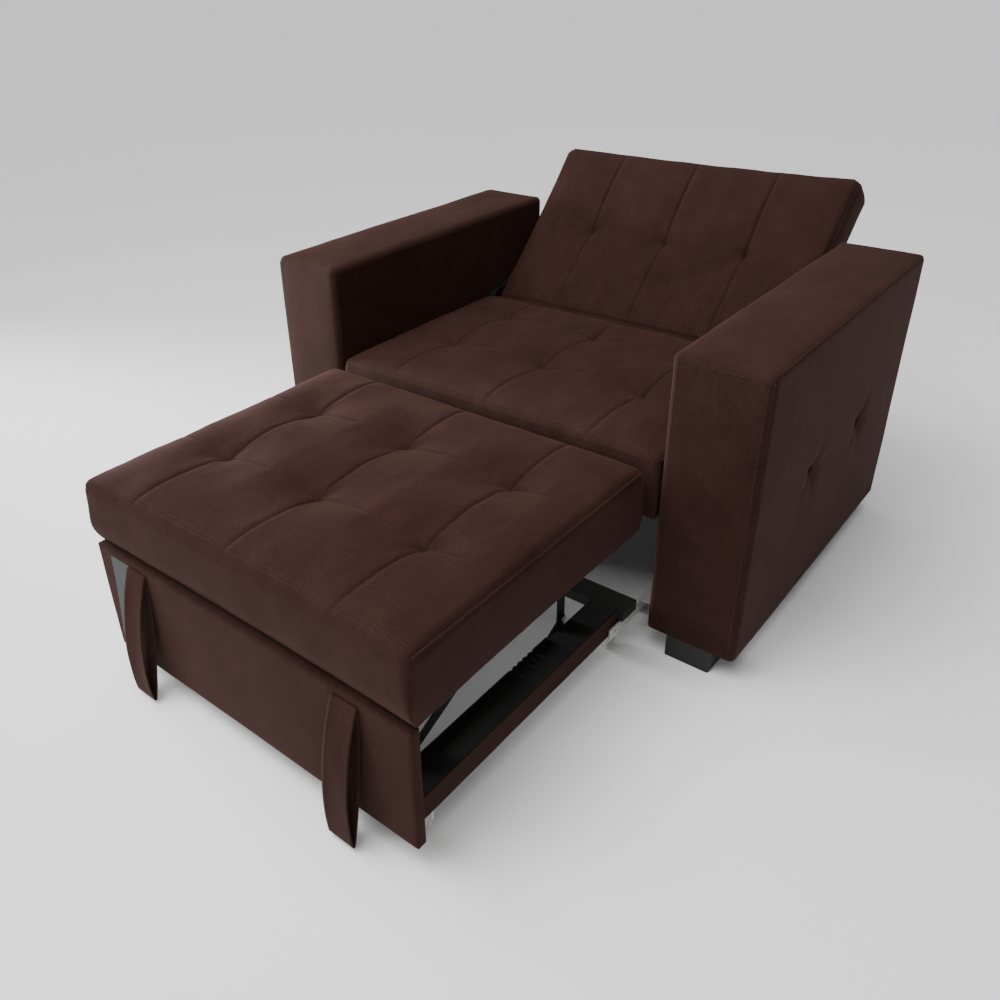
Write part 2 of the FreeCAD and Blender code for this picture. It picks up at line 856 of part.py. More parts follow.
# Pull straps: a closed band that hangs from the seam above the panel
def strap(x):
    r = strap_fold
    y0 = panel_front - layer_gap
    z0 = strap_low + r
    z1 = strap_top - r
    foot = y0 - strap_swing + r
    head = y0 - r
    mid = (z0 + z1) / 2
    near = y0 - strap_swing * strap_lean
    far = near - strap_gap

    def outline(t):
        top_front = V(0, head - r + t, z1)
        top_back = V(0, head + r - t, z1)
        low_front = V(0, foot - r + t, z0)
        low_back = V(0, foot + r - t, z0)
        return [
            arc(top_front, V(0, far + t, mid), low_front),
            arc(low_front, V(0, foot, z0 - r + t), low_back),
            arc(low_back, V(0, near - t, mid), top_back),
            arc(top_back, V(0, head, z1 + r - t), top_front),
        ]

    band = slab(outline(0), V(strap_width, 0, 0))
    band = band.cut(slab(outline(strap_thickness), V(strap_width, 0, 0)))
    band.translate(V(x - strap_width / 2, 0, 0))
    return band


nodes["strap_right"] = strap(strap_offset)
nodes["strap_left"] = strap(-strap_offset)


def card():
    top = pad_bottom - pad_clearance - card_top_gap
    y = panel_front
    t = card_thickness
    bottom = top - card_length
    mid = (top + bottom) / 2
    sag = card_swing * card_sag
    edges = [
        line(V(0, y, top), V(0, y - t, top)),
        arc(V(0, y - t, top), V(0, y - t - sag, mid), V(0, y - t - card_swing, bottom)),
        line(V(0, y - t - card_swing, bottom), V(0, y - card_swing, bottom)),
        arc(V(0, y - card_swing, bottom), V(0, y - sag, mid), V(0, y, top)),
    ]
    solid = slab(edges, V(card_width, 0, 0))
    solid.translate(V(-card_left, 0, 0))
    return solid


nodes["front_label"] = card()

# The row's own frame: middle of the whole in plan, floor at z = 0
boxes = [shape.optimalBoundingBox(False) for shape in nodes.values()]
middle_y = (min(b.YMin for b in boxes) + max(b.YMax for b in boxes)) / 2
for name, shape in nodes.items():
    placed = shape.translated(V(0, -middle_y, 0))
    placed.exportStep("parts/" + name + ".step")

print("nodes", len(nodes), "middle_y", round(middle_y, 3))
for name, shape in nodes.items():
    if not shape.isValid():
        print("invalid", name)
print("link", link_foot, link_head, "prop", prop_head, "rivet", rivet_at, "brace", brace_foot)
print("hinge", hinge_y, hinge_height, "rail_rear", rail_rear, "layers", link_x, prop_x, brace_x)
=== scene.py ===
"""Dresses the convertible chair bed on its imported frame: suede, timber and steel."""

import json
import logging
import math
from dataclasses import dataclass
from enum import Enum
from typing import Iterable, Sequence

import bpy
import numpy as np
from mathutils import Matrix, Vector, noise
from mathutils.bvhtree import BVHTree

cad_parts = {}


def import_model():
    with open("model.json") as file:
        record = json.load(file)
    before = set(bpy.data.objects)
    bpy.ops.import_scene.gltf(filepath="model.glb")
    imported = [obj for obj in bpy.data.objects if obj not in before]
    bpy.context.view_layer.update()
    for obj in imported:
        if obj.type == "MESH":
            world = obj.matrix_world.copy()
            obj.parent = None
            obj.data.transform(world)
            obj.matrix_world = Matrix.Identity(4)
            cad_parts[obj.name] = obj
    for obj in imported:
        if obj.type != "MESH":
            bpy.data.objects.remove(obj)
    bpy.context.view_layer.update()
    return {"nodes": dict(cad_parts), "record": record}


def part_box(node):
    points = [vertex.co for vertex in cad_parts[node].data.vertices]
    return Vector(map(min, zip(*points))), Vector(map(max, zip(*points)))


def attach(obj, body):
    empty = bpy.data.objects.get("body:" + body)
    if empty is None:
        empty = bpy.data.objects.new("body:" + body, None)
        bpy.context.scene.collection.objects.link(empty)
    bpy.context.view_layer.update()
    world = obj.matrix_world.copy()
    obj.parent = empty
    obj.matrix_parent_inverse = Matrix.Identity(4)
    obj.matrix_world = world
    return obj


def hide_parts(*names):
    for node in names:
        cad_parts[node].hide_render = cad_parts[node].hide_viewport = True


log = logging.getLogger("chair_bed")
Array = np.ndarray

# Lengths are in metres.
STITCH_PITCH = 0.0055
STITCH_LENGTH = 0.0039
THREAD_WIDTH = 0.0012
STAPLE_PITCH = 0.04
STAPLE_LENGTH = 0.0105
# How sharply the swelling of a face ends at that face's own edges.
FACE_POWER = 24


class Side(Enum):
    """The two sides of the chair, and the sign of X on each."""

    RIGHT = 1
    LEFT = -1

    @property
    def word(self) -> str:
        """The ending that this side's nodes have."""
        return self.name.lower()


class Edge(Enum):
    """The edges of a cushion's top, and the way that each faces in X and Y."""

    FRONT = (0, -1)
    REAR = (0, 1)
    LEFT = (-1, 0)
    RIGHT = (1, 0)


# Finishes


class Nodes:
    """A short way to write a material's node tree."""

    def __init__(self, name: str) -> None:
        """Starts a material with its shader and output.

        Args:
            name: the material's name.
        """
        self.material = bpy.data.materials.new(name)
        self.material.use_nodes = True
        self.tree = self.material.node_tree
        self.shader = self.tree.nodes["Principled BSDF"]
        self.place = self.tree.nodes.new("ShaderNodeTexCoord").outputs["Object"]

    def link(self, out: bpy.types.NodeSocket, socket: bpy.types.NodeSocket) -> None:
        """Joins two sockets."""
        self.tree.links.new(out, socket)

    def stretched(self, scale: Sequence[float]) -> bpy.types.NodeSocket:
        """Gives object coordinates stretched by three factors.

        Args:
            scale: the factor along each axis.

        Returns:
            The socket with the stretched coordinates.
        """
        node = self.tree.nodes.new("ShaderNodeMapping")
        node.inputs["Scale"].default_value = scale
        self.link(self.place, node.inputs["Vector"])
        return node.outputs["Vector"]

    def cloud(
        self,
        scale: float,
        detail: float = 3.0,
        rough: float = 0.5,
        at: bpy.types.NodeSocket | None = None,
        distortion: float = 0.0,
    ) -> bpy.types.NodeSocket:
        """A noise pattern.

        Args:
            scale: waves per metre.
            detail: number of finer layers.
            rough: weight of the finer layers.
            at: coordinates, or None for the object's own.
            distortion: how far the pattern is swirled.

        Returns:
            The socket with the pattern's value.
        """
        node = self.tree.nodes.new("ShaderNodeTexNoise")
        node.inputs["Scale"].default_value = scale
        node.inputs["Detail"].default_value = detail
        node.inputs["Roughness"].default_value = rough
        node.inputs["Distortion"].default_value = distortion
        self.link(at or self.place, node.inputs["Vector"])
        return node.outputs["Fac"]

    def ramp(
        self, value: bpy.types.NodeSocket, stops: Sequence[tuple[float, Sequence[float]]]
    ) -> bpy.types.NodeSocket:
        """Colours a value.

        Args:
            value: the value to colour.
            stops: pairs of place and linear colour.

        Returns:
            The socket with the colour.
        """
        node = self.tree.nodes.new("ShaderNodeValToRGB")
        elements = node.color_ramp.elements
        while len(elements) < len(stops):
            elements.new(0.5)
        for element, (place, colour) in zip(elements, stops):
            element.position = place
            element.color = (*colour, 1.0)
        self.link(value, node.inputs["Fac"])
        return node.outputs["Color"]

    def blend(
        self,
        a: bpy.types.NodeSocket,
        b: bpy.types.NodeSocket,
        share: float | bpy.types.NodeSocket,
        way: str = "MIX",
    ) -> bpy.types.NodeSocket:
        """Mixes two colours.

        Args:
            a: the first colour.
            b: the second colour.
            share: how much of the second, as a number or a value.
            way: the mixing mode.

        Returns:
            The socket with the mixed colour.
        """
        node = self.tree.nodes.new("ShaderNodeMix")
        node.data_type = "RGBA"
        node.blend_type = way
        factor = node.inputs["Factor"]
        if isinstance(share, float):
            factor.default_value = share
        else:
            self.link(share, factor)
        self.link(a, node.inputs["A"])
        self.link(b, node.inputs["B"])
        return node.outputs["Result"]

    def spread(
        self, value: bpy.types.NodeSocket, low: float, high: float
    ) -> bpy.types.NodeSocket:
        """Maps a value from 0..1 to another range.

        Args:
            value: the value.
            low: result at 0.
            high: result at 1.

        Returns:
            The socket with the mapped value.
        """
        node = self.tree.nodes.new("ShaderNodeMapRange")
        node.inputs["To Min"].default_value = low
        node.inputs["To Max"].default_value = high
        self.link(value, node.inputs["Value"])
        return node.outputs["Result"]

    def bump(self, layers: Sequence[tuple[bpy.types.NodeSocket, float, float]]) -> None:
        """Adds relief to the shader.

        Args:
            layers: height, strength and depth in metres, from coarse to fine.
        """
        normal = None
        for height, strength, depth in layers:
            node = self.tree.nodes.new("ShaderNodeBump")
            node.inputs["Strength"].default_value = strength
            node.inputs["Distance"].default_value = depth
            self.link(height, node.inputs["Height"])
            if normal is not None:
                self.link(normal, node.inputs["Normal"])
            normal = node.outputs["Normal"]
        self.link(normal, self.shader.inputs["Normal"])

    def set(self, **numbers: float) -> None:
        """Sets the shader's own sockets, with spaces written as low lines."""
        for key, number in numbers.items():
            self.shader.inputs[key.replace("_", " ")].default_value = number


@dataclass(frozen=True)
class Suede:
    """Brushed pile fabric whose nap lies in patches."""

    name: str = "suede"
    deep: tuple[float, float, float] = (0.0128, 0.0046, 0.0037)
    middle: tuple[float, float, float] = (0.0262, 0.0105, 0.0085)
    light: tuple[float, float, float] = (0.047, 0.0215, 0.0178)
    sheen: float = 0.06
    smoothest: float = 0.78
    roughest: float = 0.95

    def make(self) -> bpy.types.Material:
        """Builds the fabric with its nap patches, fibre grain and soft sheen.

        Returns:
            The fabric's material.
        """
        n = Nodes(self.name)
        patches = n.cloud(5.5, 4.0, 0.55, distortion=0.6)
        streaks = n.cloud(26.0, 3.0, 0.6, n.stretched((1.0, 0.38, 0.7)), 0.4)
        mottle = n.cloud(190.0, 4.0, 0.7)
        fibre = n.cloud(950.0, 2.0, 0.7)
        stops = [(0.28, self.deep), (0.5, self.middle), (0.74, self.light)]
        broad = n.ramp(patches, stops)
        brushed = n.ramp(streaks, stops)
        fine = n.ramp(mottle, stops)
        grain = n.ramp(fibre, [(0.3, self.deep), (0.7, self.light)])
        colour = n.blend(broad, brushed, 0.45)
        colour = n.blend(colour, fine, 0.42)
        colour = n.blend(colour, grain, 0.2)
        n.link(colour, n.shader.inputs["Base Color"])
        n.link(n.spread(mottle, self.smoothest, self.roughest), n.shader.inputs["Roughness"])
        n.set(Sheen_Weight=self.sheen, Sheen_Roughness=0.45, Specular_IOR_Level=0.07)
        n.shader.inputs["Sheen Tint"].default_value = (0.9, 0.5, 0.4, 1.0)
        n.bump([(streaks, 0.25, 0.0012), (mottle, 0.45, 0.0005), (fibre, 0.4, 0.0002)])
        return n.material


@dataclass(frozen=True)
class Paint:
    """Paint or moulded plastic: a colour with faint clouding, scuffs and relief."""

    name: str
    colour: tuple[float, float, float]
    worn: tuple[float, float, float]
    roughness: float = 0.45
    metal: float = 0.0
    grain: float = 240.0
    relief: float = 0.0001

    def make(self) -> bpy.types.Material:
        """Builds the finish with clouded colour, worn specks and an uneven gloss.

        Returns:
            The finish's material.
        """
        n = Nodes(self.name)
        cloud = n.cloud(9.0, 4.0)
        specks = n.cloud(self.grain, 3.0, 0.7)
        base = n.ramp(cloud, [(0.3, self.colour), (0.8, self.worn)])
        wear = n.ramp(specks, [(0.62, self.colour), (0.78, self.worn)])
        n.link(n.blend(base, wear, 0.35), n.shader.inputs["Base Color"])
        gloss = n.spread(specks, max(0.05, self.roughness - 0.1), self.roughness + 0.12)
        n.link(gloss, n.shader.inputs["Roughness"])
        n.set(Metallic=self.metal)
        n.bump([(cloud, 0.08, 0.0006), (specks, 0.25, self.relief)])
        return n.material


@dataclass(frozen=True)
class Timber:
    """Sawn or stained timber with grain along Y."""

    name: str
    dark: tuple[float, float, float]
    pale: tuple[float, float, float]
    roughness: float = 0.6

    def make(self) -> bpy.types.Material:
        """Builds the timber with long grain, pores and an uneven stain.

        Returns:
            The timber's material.
        """
        n = Nodes(self.name)
        along = n.stretched((1.0, 0.06, 1.0))
        grain = n.cloud(70.0, 5.0, 0.6, along, 1.2)
        pores = n.cloud(420.0, 2.0, 0.6, along)
        broad = n.ramp(grain, [(0.35, self.dark), (0.65, self.pale)])
        fine = n.ramp(pores, [(0.4, self.dark), (0.7, self.pale)])
        n.link(n.blend(broad, fine, 0.35), n.shader.inputs["Base Color"])
        gloss = n.spread(grain, self.roughness - 0.1, self.roughness + 0.15)
        n.link(gloss, n.shader.inputs["Roughness"])
        n.bump([(grain, 0.3, 0.0004), (pores, 0.3, 0.0002)])
        return n.material


@dataclass(frozen=True)
class Weave:
    """Plain woven or felted cloth, seen as crossing threads."""

    name: str
    deep: tuple[float, float, float]
    light: tuple[float, float, float]
    threads: float = 700.0

    def make(self) -> bpy.types.Material:
        """Builds the cloth from two sets of fine bands and a cloudy tone.

        Returns:
            The cloth's material.
        """
        n = Nodes(self.name)
        bands = []
        for way in ("X", "Y"):
            node = n.tree.nodes.new("ShaderNodeTexWave")
            node.bands_direction = way
            node.inputs["Scale"].default_value = self.threads
            node.inputs["Distortion"].default_value = 1.5
            n.link(n.place, node.inputs["Vector"])
            bands.append(node.outputs["Fac"])
        tone = n.cloud(60.0, 4.0, 0.6)
        stops = [(0.25, self.deep), (0.8, self.light)]
        crossed = n.blend(n.ramp(bands[0], stops), n.ramp(bands[1], stops), 0.5)
        n.link(n.blend(crossed, n.ramp(tone, stops), 0.45), n.shader.inputs["Base Color"])
        n.set(Roughness=0.92, Specular_IOR_Level=0.15)
        n.bump([(bands[0], 0.3, 0.0003), (bands[1], 0.3, 0.0003)])
        return n.material


SUEDE = Suede()
FINISHES = {
    "upholstery": SUEDE,
    "black_cloth": Weave("felted_cloth", (0.006, 0.006, 0.006), (0.02, 0.02, 0.021)),
    "webbing": Weave("jute_webbing", (0.16, 0.12, 0.07), (0.42, 0.33, 0.2), 260.0),
    "pine": Timber("pine", (0.33, 0.19, 0.08), (0.6, 0.42, 0.22)),
    "black_timber": Timber("black_timber", (0.003, 0.0028, 0.0026), (0.011, 0.01, 0.0092), 0.6),
    "leg_black": Paint("leg_black", (0.004, 0.0038, 0.0036), (0.012, 0.011, 0.01), 0.6),
    "black_steel": Paint("black_steel", (0.006, 0.006, 0.0065), (0.03, 0.03, 0.032), 0.4, 0.2),
    "galvanised": Paint("galvanised", (0.5, 0.5, 0.48), (0.8, 0.8, 0.78), 0.38, 0.6, 160.0),
    "caster_fork": Paint("caster_fork", (0.45, 0.45, 0.44), (0.65, 0.65, 0.64), 0.35, 1.0),
    "caster_wheel": Paint("caster_wheel", (0.62, 0.61, 0.57), (0.74, 0.73, 0.7), 0.42),
    "card": Paint("card", (0.02, 0.023, 0.0235), (0.034, 0.038, 0.039), 0.6, 0.0, 500.0),
}
THREAD = Paint("thread", (0.016, 0.007, 0.0055), (0.046, 0.024, 0.02), 0.9, 0.0, 900.0)


# Meshes


def ticks(low: float, high: float, step: float, close: Iterable[float], reach: float) -> Array:
    """Places along one edge of a lattice, closer together round chosen places.

    Args:
        low: the first place.
        high: the last place.
        step: the usual distance.
        close: the places that need a finer lattice.
        reach: how far the finer lattice goes to each side.

    Returns:
        The places in order.
    """
    near = np.linspace(-reach, reach, 11)
    parts = [np.linspace(low, high, max(3, int(round((high - low) / step)) + 1))]
    parts += [place + near for place in close]
    merged = np.sort(np.concatenate(parts))
    merged = merged[(merged >= low) & (merged <= high)]
    least, last = step * 0.24, step * 0.2
    kept = [merged[0]]
    for value in merged[1:-1]:
        if value - kept[-1] > least and high - value > last:
            kept.append(value)
    kept.append(merged[-1])
    return np.array(kept)


def lattice(xs: Array, ys: Array, zs: Array) -> tuple[Array, list[tuple[int, ...]]]:
    """The skin of a box lattice, closed, with its faces outwards.

    Args:
        xs: places along X.
        ys: places along Y.
        zs: places along Z.

    Returns:
        The points and the quads.
    """
    nx, ny, nz = len(xs) - 1, len(ys) - 1, len(zs) - 1
    index: dict[tuple[int, int, int], int] = {}
    points: list[tuple[float, float, float]] = []

    def at(i: int, j: int, k: int) -> int:
        """The number of a lattice point, which is added at its first use.

        Args:
            i: its step along X.
            j: its step along Y.
            k: its step along Z.

        Returns:
            Its place in the list of points.
        """
        key = (i, j, k)
        if key not in index:
            index[key] = len(points)
            points.append((xs[i], ys[j], zs[k]))
        return index[key]

    quads: list[tuple[int, ...]] = []
    for i in range(nx):
        for j in range(ny):
            quads.append((at(i, j, nz), at(i + 1, j, nz), at(i + 1, j + 1, nz), at(i, j + 1, nz)))
            quads.append((at(i, j, 0), at(i, j + 1, 0), at(i + 1, j + 1, 0), at(i + 1, j, 0)))
    for i in range(nx):
        for k in range(nz):
            quads.append((at(i, 0, k), at(i + 1, 0, k), at(i + 1, 0, k + 1), at(i, 0, k + 1)))
            quads.append((at(i, ny, k), at(i, ny, k + 1), at(i + 1, ny, k + 1), at(i + 1, ny, k)))
    for j in range(ny):
        for k in range(nz):
            quads.append((at(0, j, k), at(0, j, k + 1), at(0, j + 1, k + 1), at(0, j + 1, k)))
            quads.append((at(nx, j, k), at(nx, j + 1, k), at(nx, j + 1, k + 1), at(nx, j, k + 1)))
    return np.array(points), quads


def rounded(points: Array, low: Array, high: Array, radius: float | Array) -> Array:
    """Rounds the edges and corners of a box's skin.

    Args:
        points: the skin's points.
        low: the box's lowest corner.
        high: the box's highest corner.
        radius: the radius of the edges, the same all over or one for each point.

    Returns:
        The moved points.
    """
    radius = np.broadcast_to(np.asarray(radius, float).reshape(-1, 1), (len(points), 1))
    core = np.clip(points, low + radius, high - radius)
    away = points - core
    length = np.linalg.norm(away, axis=1, keepdims=True)
    length[length < 1e-9] = 1.0
    return core + away / length * radius


def ripples(points: Array, wave: float, seed: float) -> Array:
    """Smooth uneven heights between about -1 and 1.

    Args:
        points: where they are wanted.
        wave: the size of a wave in metres.
        seed: a shift that makes each piece different.

    Returns:
        One height for each point.
    """
    shift = Vector((seed, seed * 0.7, -seed))
    return np.array([noise.noise(Vector(p) / wave + shift) for p in points])


def node_box(node: str) -> tuple[Array, Array]:
    """A node's box in the frame.

    Args:
        node: the node's name.

    Returns:
        Its lowest and its highest corner.
    """
    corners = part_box(node)
    return np.array(corners[0]), np.array(corners[1])


def moved(points: Array, turn: Matrix | None) -> Array:
    """Carries points along with a piece that is tilted.

    Args:
        points: the points.
        turn: the tilt, or None to leave them where they are.

    Returns:
        The points in their new places.
    """
    if turn is None:
        return points
    return np.array([tuple(turn @ Vector(p)) for p in points])


def linked(name: str, data: bpy.types.ID) -> bpy.types.Object:
    """Puts a new object into the scene.

    Args:
        name: the object's name.
        data: its mesh, light or camera.

    Returns:
        The object.
    """
    obj = bpy.data.objects.new(name, data)
    bpy.context.scene.collection.objects.link(obj)
    return obj


def mesh_object(
    name: str, points: Array, faces: Sequence[Sequence[int]], finish: bpy.types.Material
) -> bpy.types.Object:
    """A smooth-shaded mesh object at the origin.

    Args:
        name: the piece's name.
        points: its points in metres.
        faces: its faces.
        finish: its material.

    Returns:
        The new object.
    """
    mesh = bpy.data.meshes.new(name)
    mesh.from_pydata([tuple(p) for p in points], [], [tuple(f) for f in faces])
    mesh.shade_smooth()
    mesh.materials.append(finish)
    mesh.update()
    log.info("%s: %d faces", name, len(faces))
    return linked(name, mesh)


def outward(obj: bpy.types.Object) -> None:
    """Turns a closed mesh's faces outwards, by its signed volume.

    Args:
        obj: the mesh's object.
    """
    mesh = obj.data
    total = 0.0
    for polygon in mesh.polygons:
        corners = [mesh.vertices[i].co for i in polygon.vertices]
        for b, c in zip(corners[1:], corners[2:]):
            total += corners[0].dot(b.cross(c))
    if total < 0:
        mesh.flip_normals()


def bell(distance: Array, width: float) -> Array:
    """A dip with a sharp bottom, like a sewn seam's.

    Args:
        distance: how far each place is from the seam.
        width: how far the dip reaches.

    Returns:
        1 at the seam and 0 away from it.
    """
    return np.exp(-((np.abs(distance) / width) ** 1.3))


# Stitching


class StitchTree:
    """A Geometry Nodes tree that lays stitches along edges."""

    LENGTH = "Stitch length"
    PITCH = "Pitch"
    WIDTH = "Thread width"

    def __init__(self, finish: bpy.types.Material) -> None:
        """Builds the tree once for every seam.

        Args:
            finish: the thread's material.
        """
        tree = bpy.data.node_groups.new("stitches", "GeometryNodeTree")
        face = tree.interface
        face.new_socket("Geometry", in_out="INPUT", socket_type="NodeSocketGeometry")
        self.sockets = {}
        for label, value in (
            (self.LENGTH, STITCH_LENGTH),
            (self.PITCH, STITCH_PITCH),
            (self.WIDTH, THREAD_WIDTH),
        ):
            socket = face.new_socket(label, in_out="INPUT", socket_type="NodeSocketFloat")
            socket.default_value = value
            self.sockets[label] = socket.identifier
        face.new_socket("Geometry", in_out="OUTPUT", socket_type="NodeSocketGeometry")
        make = tree.nodes.new
        join = tree.links.new
        start = make("NodeGroupInput")
        end = make("NodeGroupOutput")
        curve = make("GeometryNodeMeshToCurve")
        resample = make("GeometryNodeResampleCurve")
        resample.mode = "LENGTH"
        ball = make("GeometryNodeMeshUVSphere")
        ball.inputs["Segments"].default_value = 6
        ball.inputs["Rings"].default_value = 4
        ball.inputs["Radius"].default_value = 0.5
        size = make("ShaderNodeCombineXYZ")
        tangent = make("GeometryNodeInputTangent")
        turn = make("FunctionNodeAlignEulerToVector")
        turn.axis = "X"
        place = make("GeometryNodeInstanceOnPoints")
        realize = make("GeometryNodeRealizeInstances")
        dress = make("GeometryNodeSetMaterial")
        dress.inputs["Material"].default_value = finish
        join(start.outputs["Geometry"], curve.inputs["Mesh"])
        join(curve.outputs["Curve"], resample.inputs["Curve"])
        join(start.outputs[self.PITCH], resample.inputs["Length"])
        join(start.outputs[self.LENGTH], size.inputs["X"])
        join(start.outputs[self.WIDTH], size.inputs["Y"])
        join(start.outputs[self.WIDTH], size.inputs["Z"])
        join(tangent.outputs["Tangent"], turn.inputs["Vector"])
        join(resample.outputs["Curve"], place.inputs["Points"])
        join(ball.outputs["Mesh"], place.inputs["Instance"])
        join(turn.outputs["Rotation"], place.inputs["Rotation"])
        join(size.outputs["Vector"], place.inputs["Scale"])
        join(place.outputs["Instances"], realize.inputs["Geometry"])
        join(realize.outputs["Geometry"], dress.inputs["Geometry"])
        join(dress.outputs["Geometry"], end.inputs["Geometry"])
        self.tree = tree

    def sew(
        self,
        name: str,
        paths: Sequence[Array],
        body: str,
        pitch: float = STITCH_PITCH,
        length: float = STITCH_LENGTH,
    ) -> bpy.types.Object:
        """Lays stitches along paths and keeps them as one plain mesh.

        Args:
            name: the piece's name.
            paths: the lines to follow, each an array of points.
            body: the body that carries the seam.
            pitch: from one stitch to the next, in metres.
            length: of one stitch.

        Returns:
            The finished stitches.
        """
        points: list[tuple[float, ...]] = []
        edges: list[tuple[int, int]] = []
        for path in paths:
            first = len(points)
            points += [tuple(p) for p in path]
            edges += [(first + i, first + i + 1) for i in range(len(path) - 1)]
        mesh = bpy.data.meshes.new(name + "_path")
        mesh.from_pydata(points, edges, [])
        guide = linked(name + "_path", mesh)
        modifier = guide.modifiers.new("stitches", "NODES")
        modifier.node_group = self.tree
        modifier[self.sockets[self.PITCH]] = pitch
        modifier[self.sockets[self.LENGTH]] = length
        modifier[self.sockets[self.WIDTH]] = THREAD_WIDTH
        depsgraph = bpy.context.evaluated_depsgraph_get()
        result = bpy.data.meshes.new_from_object(guide.evaluated_get(depsgraph))
        guide.modifiers.clear()
        bpy.data.objects.remove(guide)
        result.name = name
        result.shade_smooth()
        obj = linked(name, result)
        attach(obj, body)
        log.info("%s: %d seams", name, len(paths))
        return obj


def laid_on(
    surface: bpy.types.Object,
    path: Array,
    towards: Sequence[float],
    proud: float = 0.0002,
    start: float = 0.12,
) -> Array:
    """Drops a path onto a surface.

    Args:
        surface: the piece to lie on.
        path: points outside the surface.
        towards: the direction in which they drop.
        proud: how far they stay above the surface.
        start: how far before each point its fall begins.

    Returns:
        The points that met the surface.
    """
    mesh = surface.data
    tree = BVHTree.FromPolygons(
        [v.co.copy() for v in mesh.vertices], [tuple(p.vertices) for p in mesh.polygons]
    )
    way = Vector(towards).normalized()
    found = []
    for point in path:
        hit, normal, _, _ = tree.ray_cast(Vector(point) - way * start, way)
        if hit is not None:
            found.append(tuple(hit + normal * proud))
    return np.array(found)


def straight(a: Sequence[float], b: Sequence[float], step: float = 0.01) -> Array:
    """Evenly spaced points from one place to another.

    Args:
        a: the first place.
        b: the last place.
        step: about how far apart the points are.

    Returns:
        The points.
    """
    start, end = np.array(a, float), np.array(b, float)
    count = max(2, int(np.linalg.norm(end - start) / step) + 1)
    return start + (end - start) * np.linspace(0, 1, count)[:, None]


@dataclass
class Welt:
    """A fine raised cord of folded fabric along an edge seam."""

    radius: float = 0.0019
    sides: int = 8

    def build(
        self, name: str, paths: Sequence[Array], body: str, finish: bpy.types.Material
    ) -> bpy.types.Object:
        """Makes one mesh from a tube along each path.

        Args:
            name: the piece's name.
            paths: the lines to follow.
            body: the body that carries the seam.
            finish: the fabric.

        Returns:
            The welt.
        """
        points: list[Array] = []
        faces: list[tuple[int, ...]] = []
        for path in paths:
            first = sum(len(p) for p in points)
            points.append(self.tube(path))
            for i in range(len(path) - 1):
                for k in range(self.sides):
                    n = (k + 1) % self.sides
                    a, b = first + i * self.sides, first + (i + 1) * self.sides
                    faces.append((a + k, a + n, b + n, b + k))
            last = first + (len(path) - 1) * self.sides
            faces.append(tuple(reversed(range(first, first + self.sides))))
            faces.append(tuple(range(last, last + self.sides)))
        obj = mesh_object(name, np.concatenate(points), faces, finish)
        outward(obj)
        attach(obj, body)
        return obj

    def tube(self, path: Array) -> Array:
        """Rings of points round a path.

        Args:
            path: the cord's middle line.

        Returns:
            The points, ring after ring.
        """
        ahead = np.gradient(path, axis=0)
        ahead /= np.linalg.norm(ahead, axis=1, keepdims=True)
        guide = np.array([0.0, 0.0, 1.0])
        if abs(ahead[0][2]) > 0.8:
            guide = np.array([0.0, 1.0, 0.0])
        across = np.cross(ahead, guide)
        across /= np.linalg.norm(across, axis=1, keepdims=True)
        above = np.cross(across, ahead)
        angles = 2 * np.pi * np.arange(self.sides) / self.sides
        ring = np.cos(angles)[None, :, None] * across[:, None, :]
        ring = ring + np.sin(angles)[None, :, None] * above[:, None, :]
        return (path[:, None, :] + ring * self.radius).reshape(-1, 3)


# Upholstery


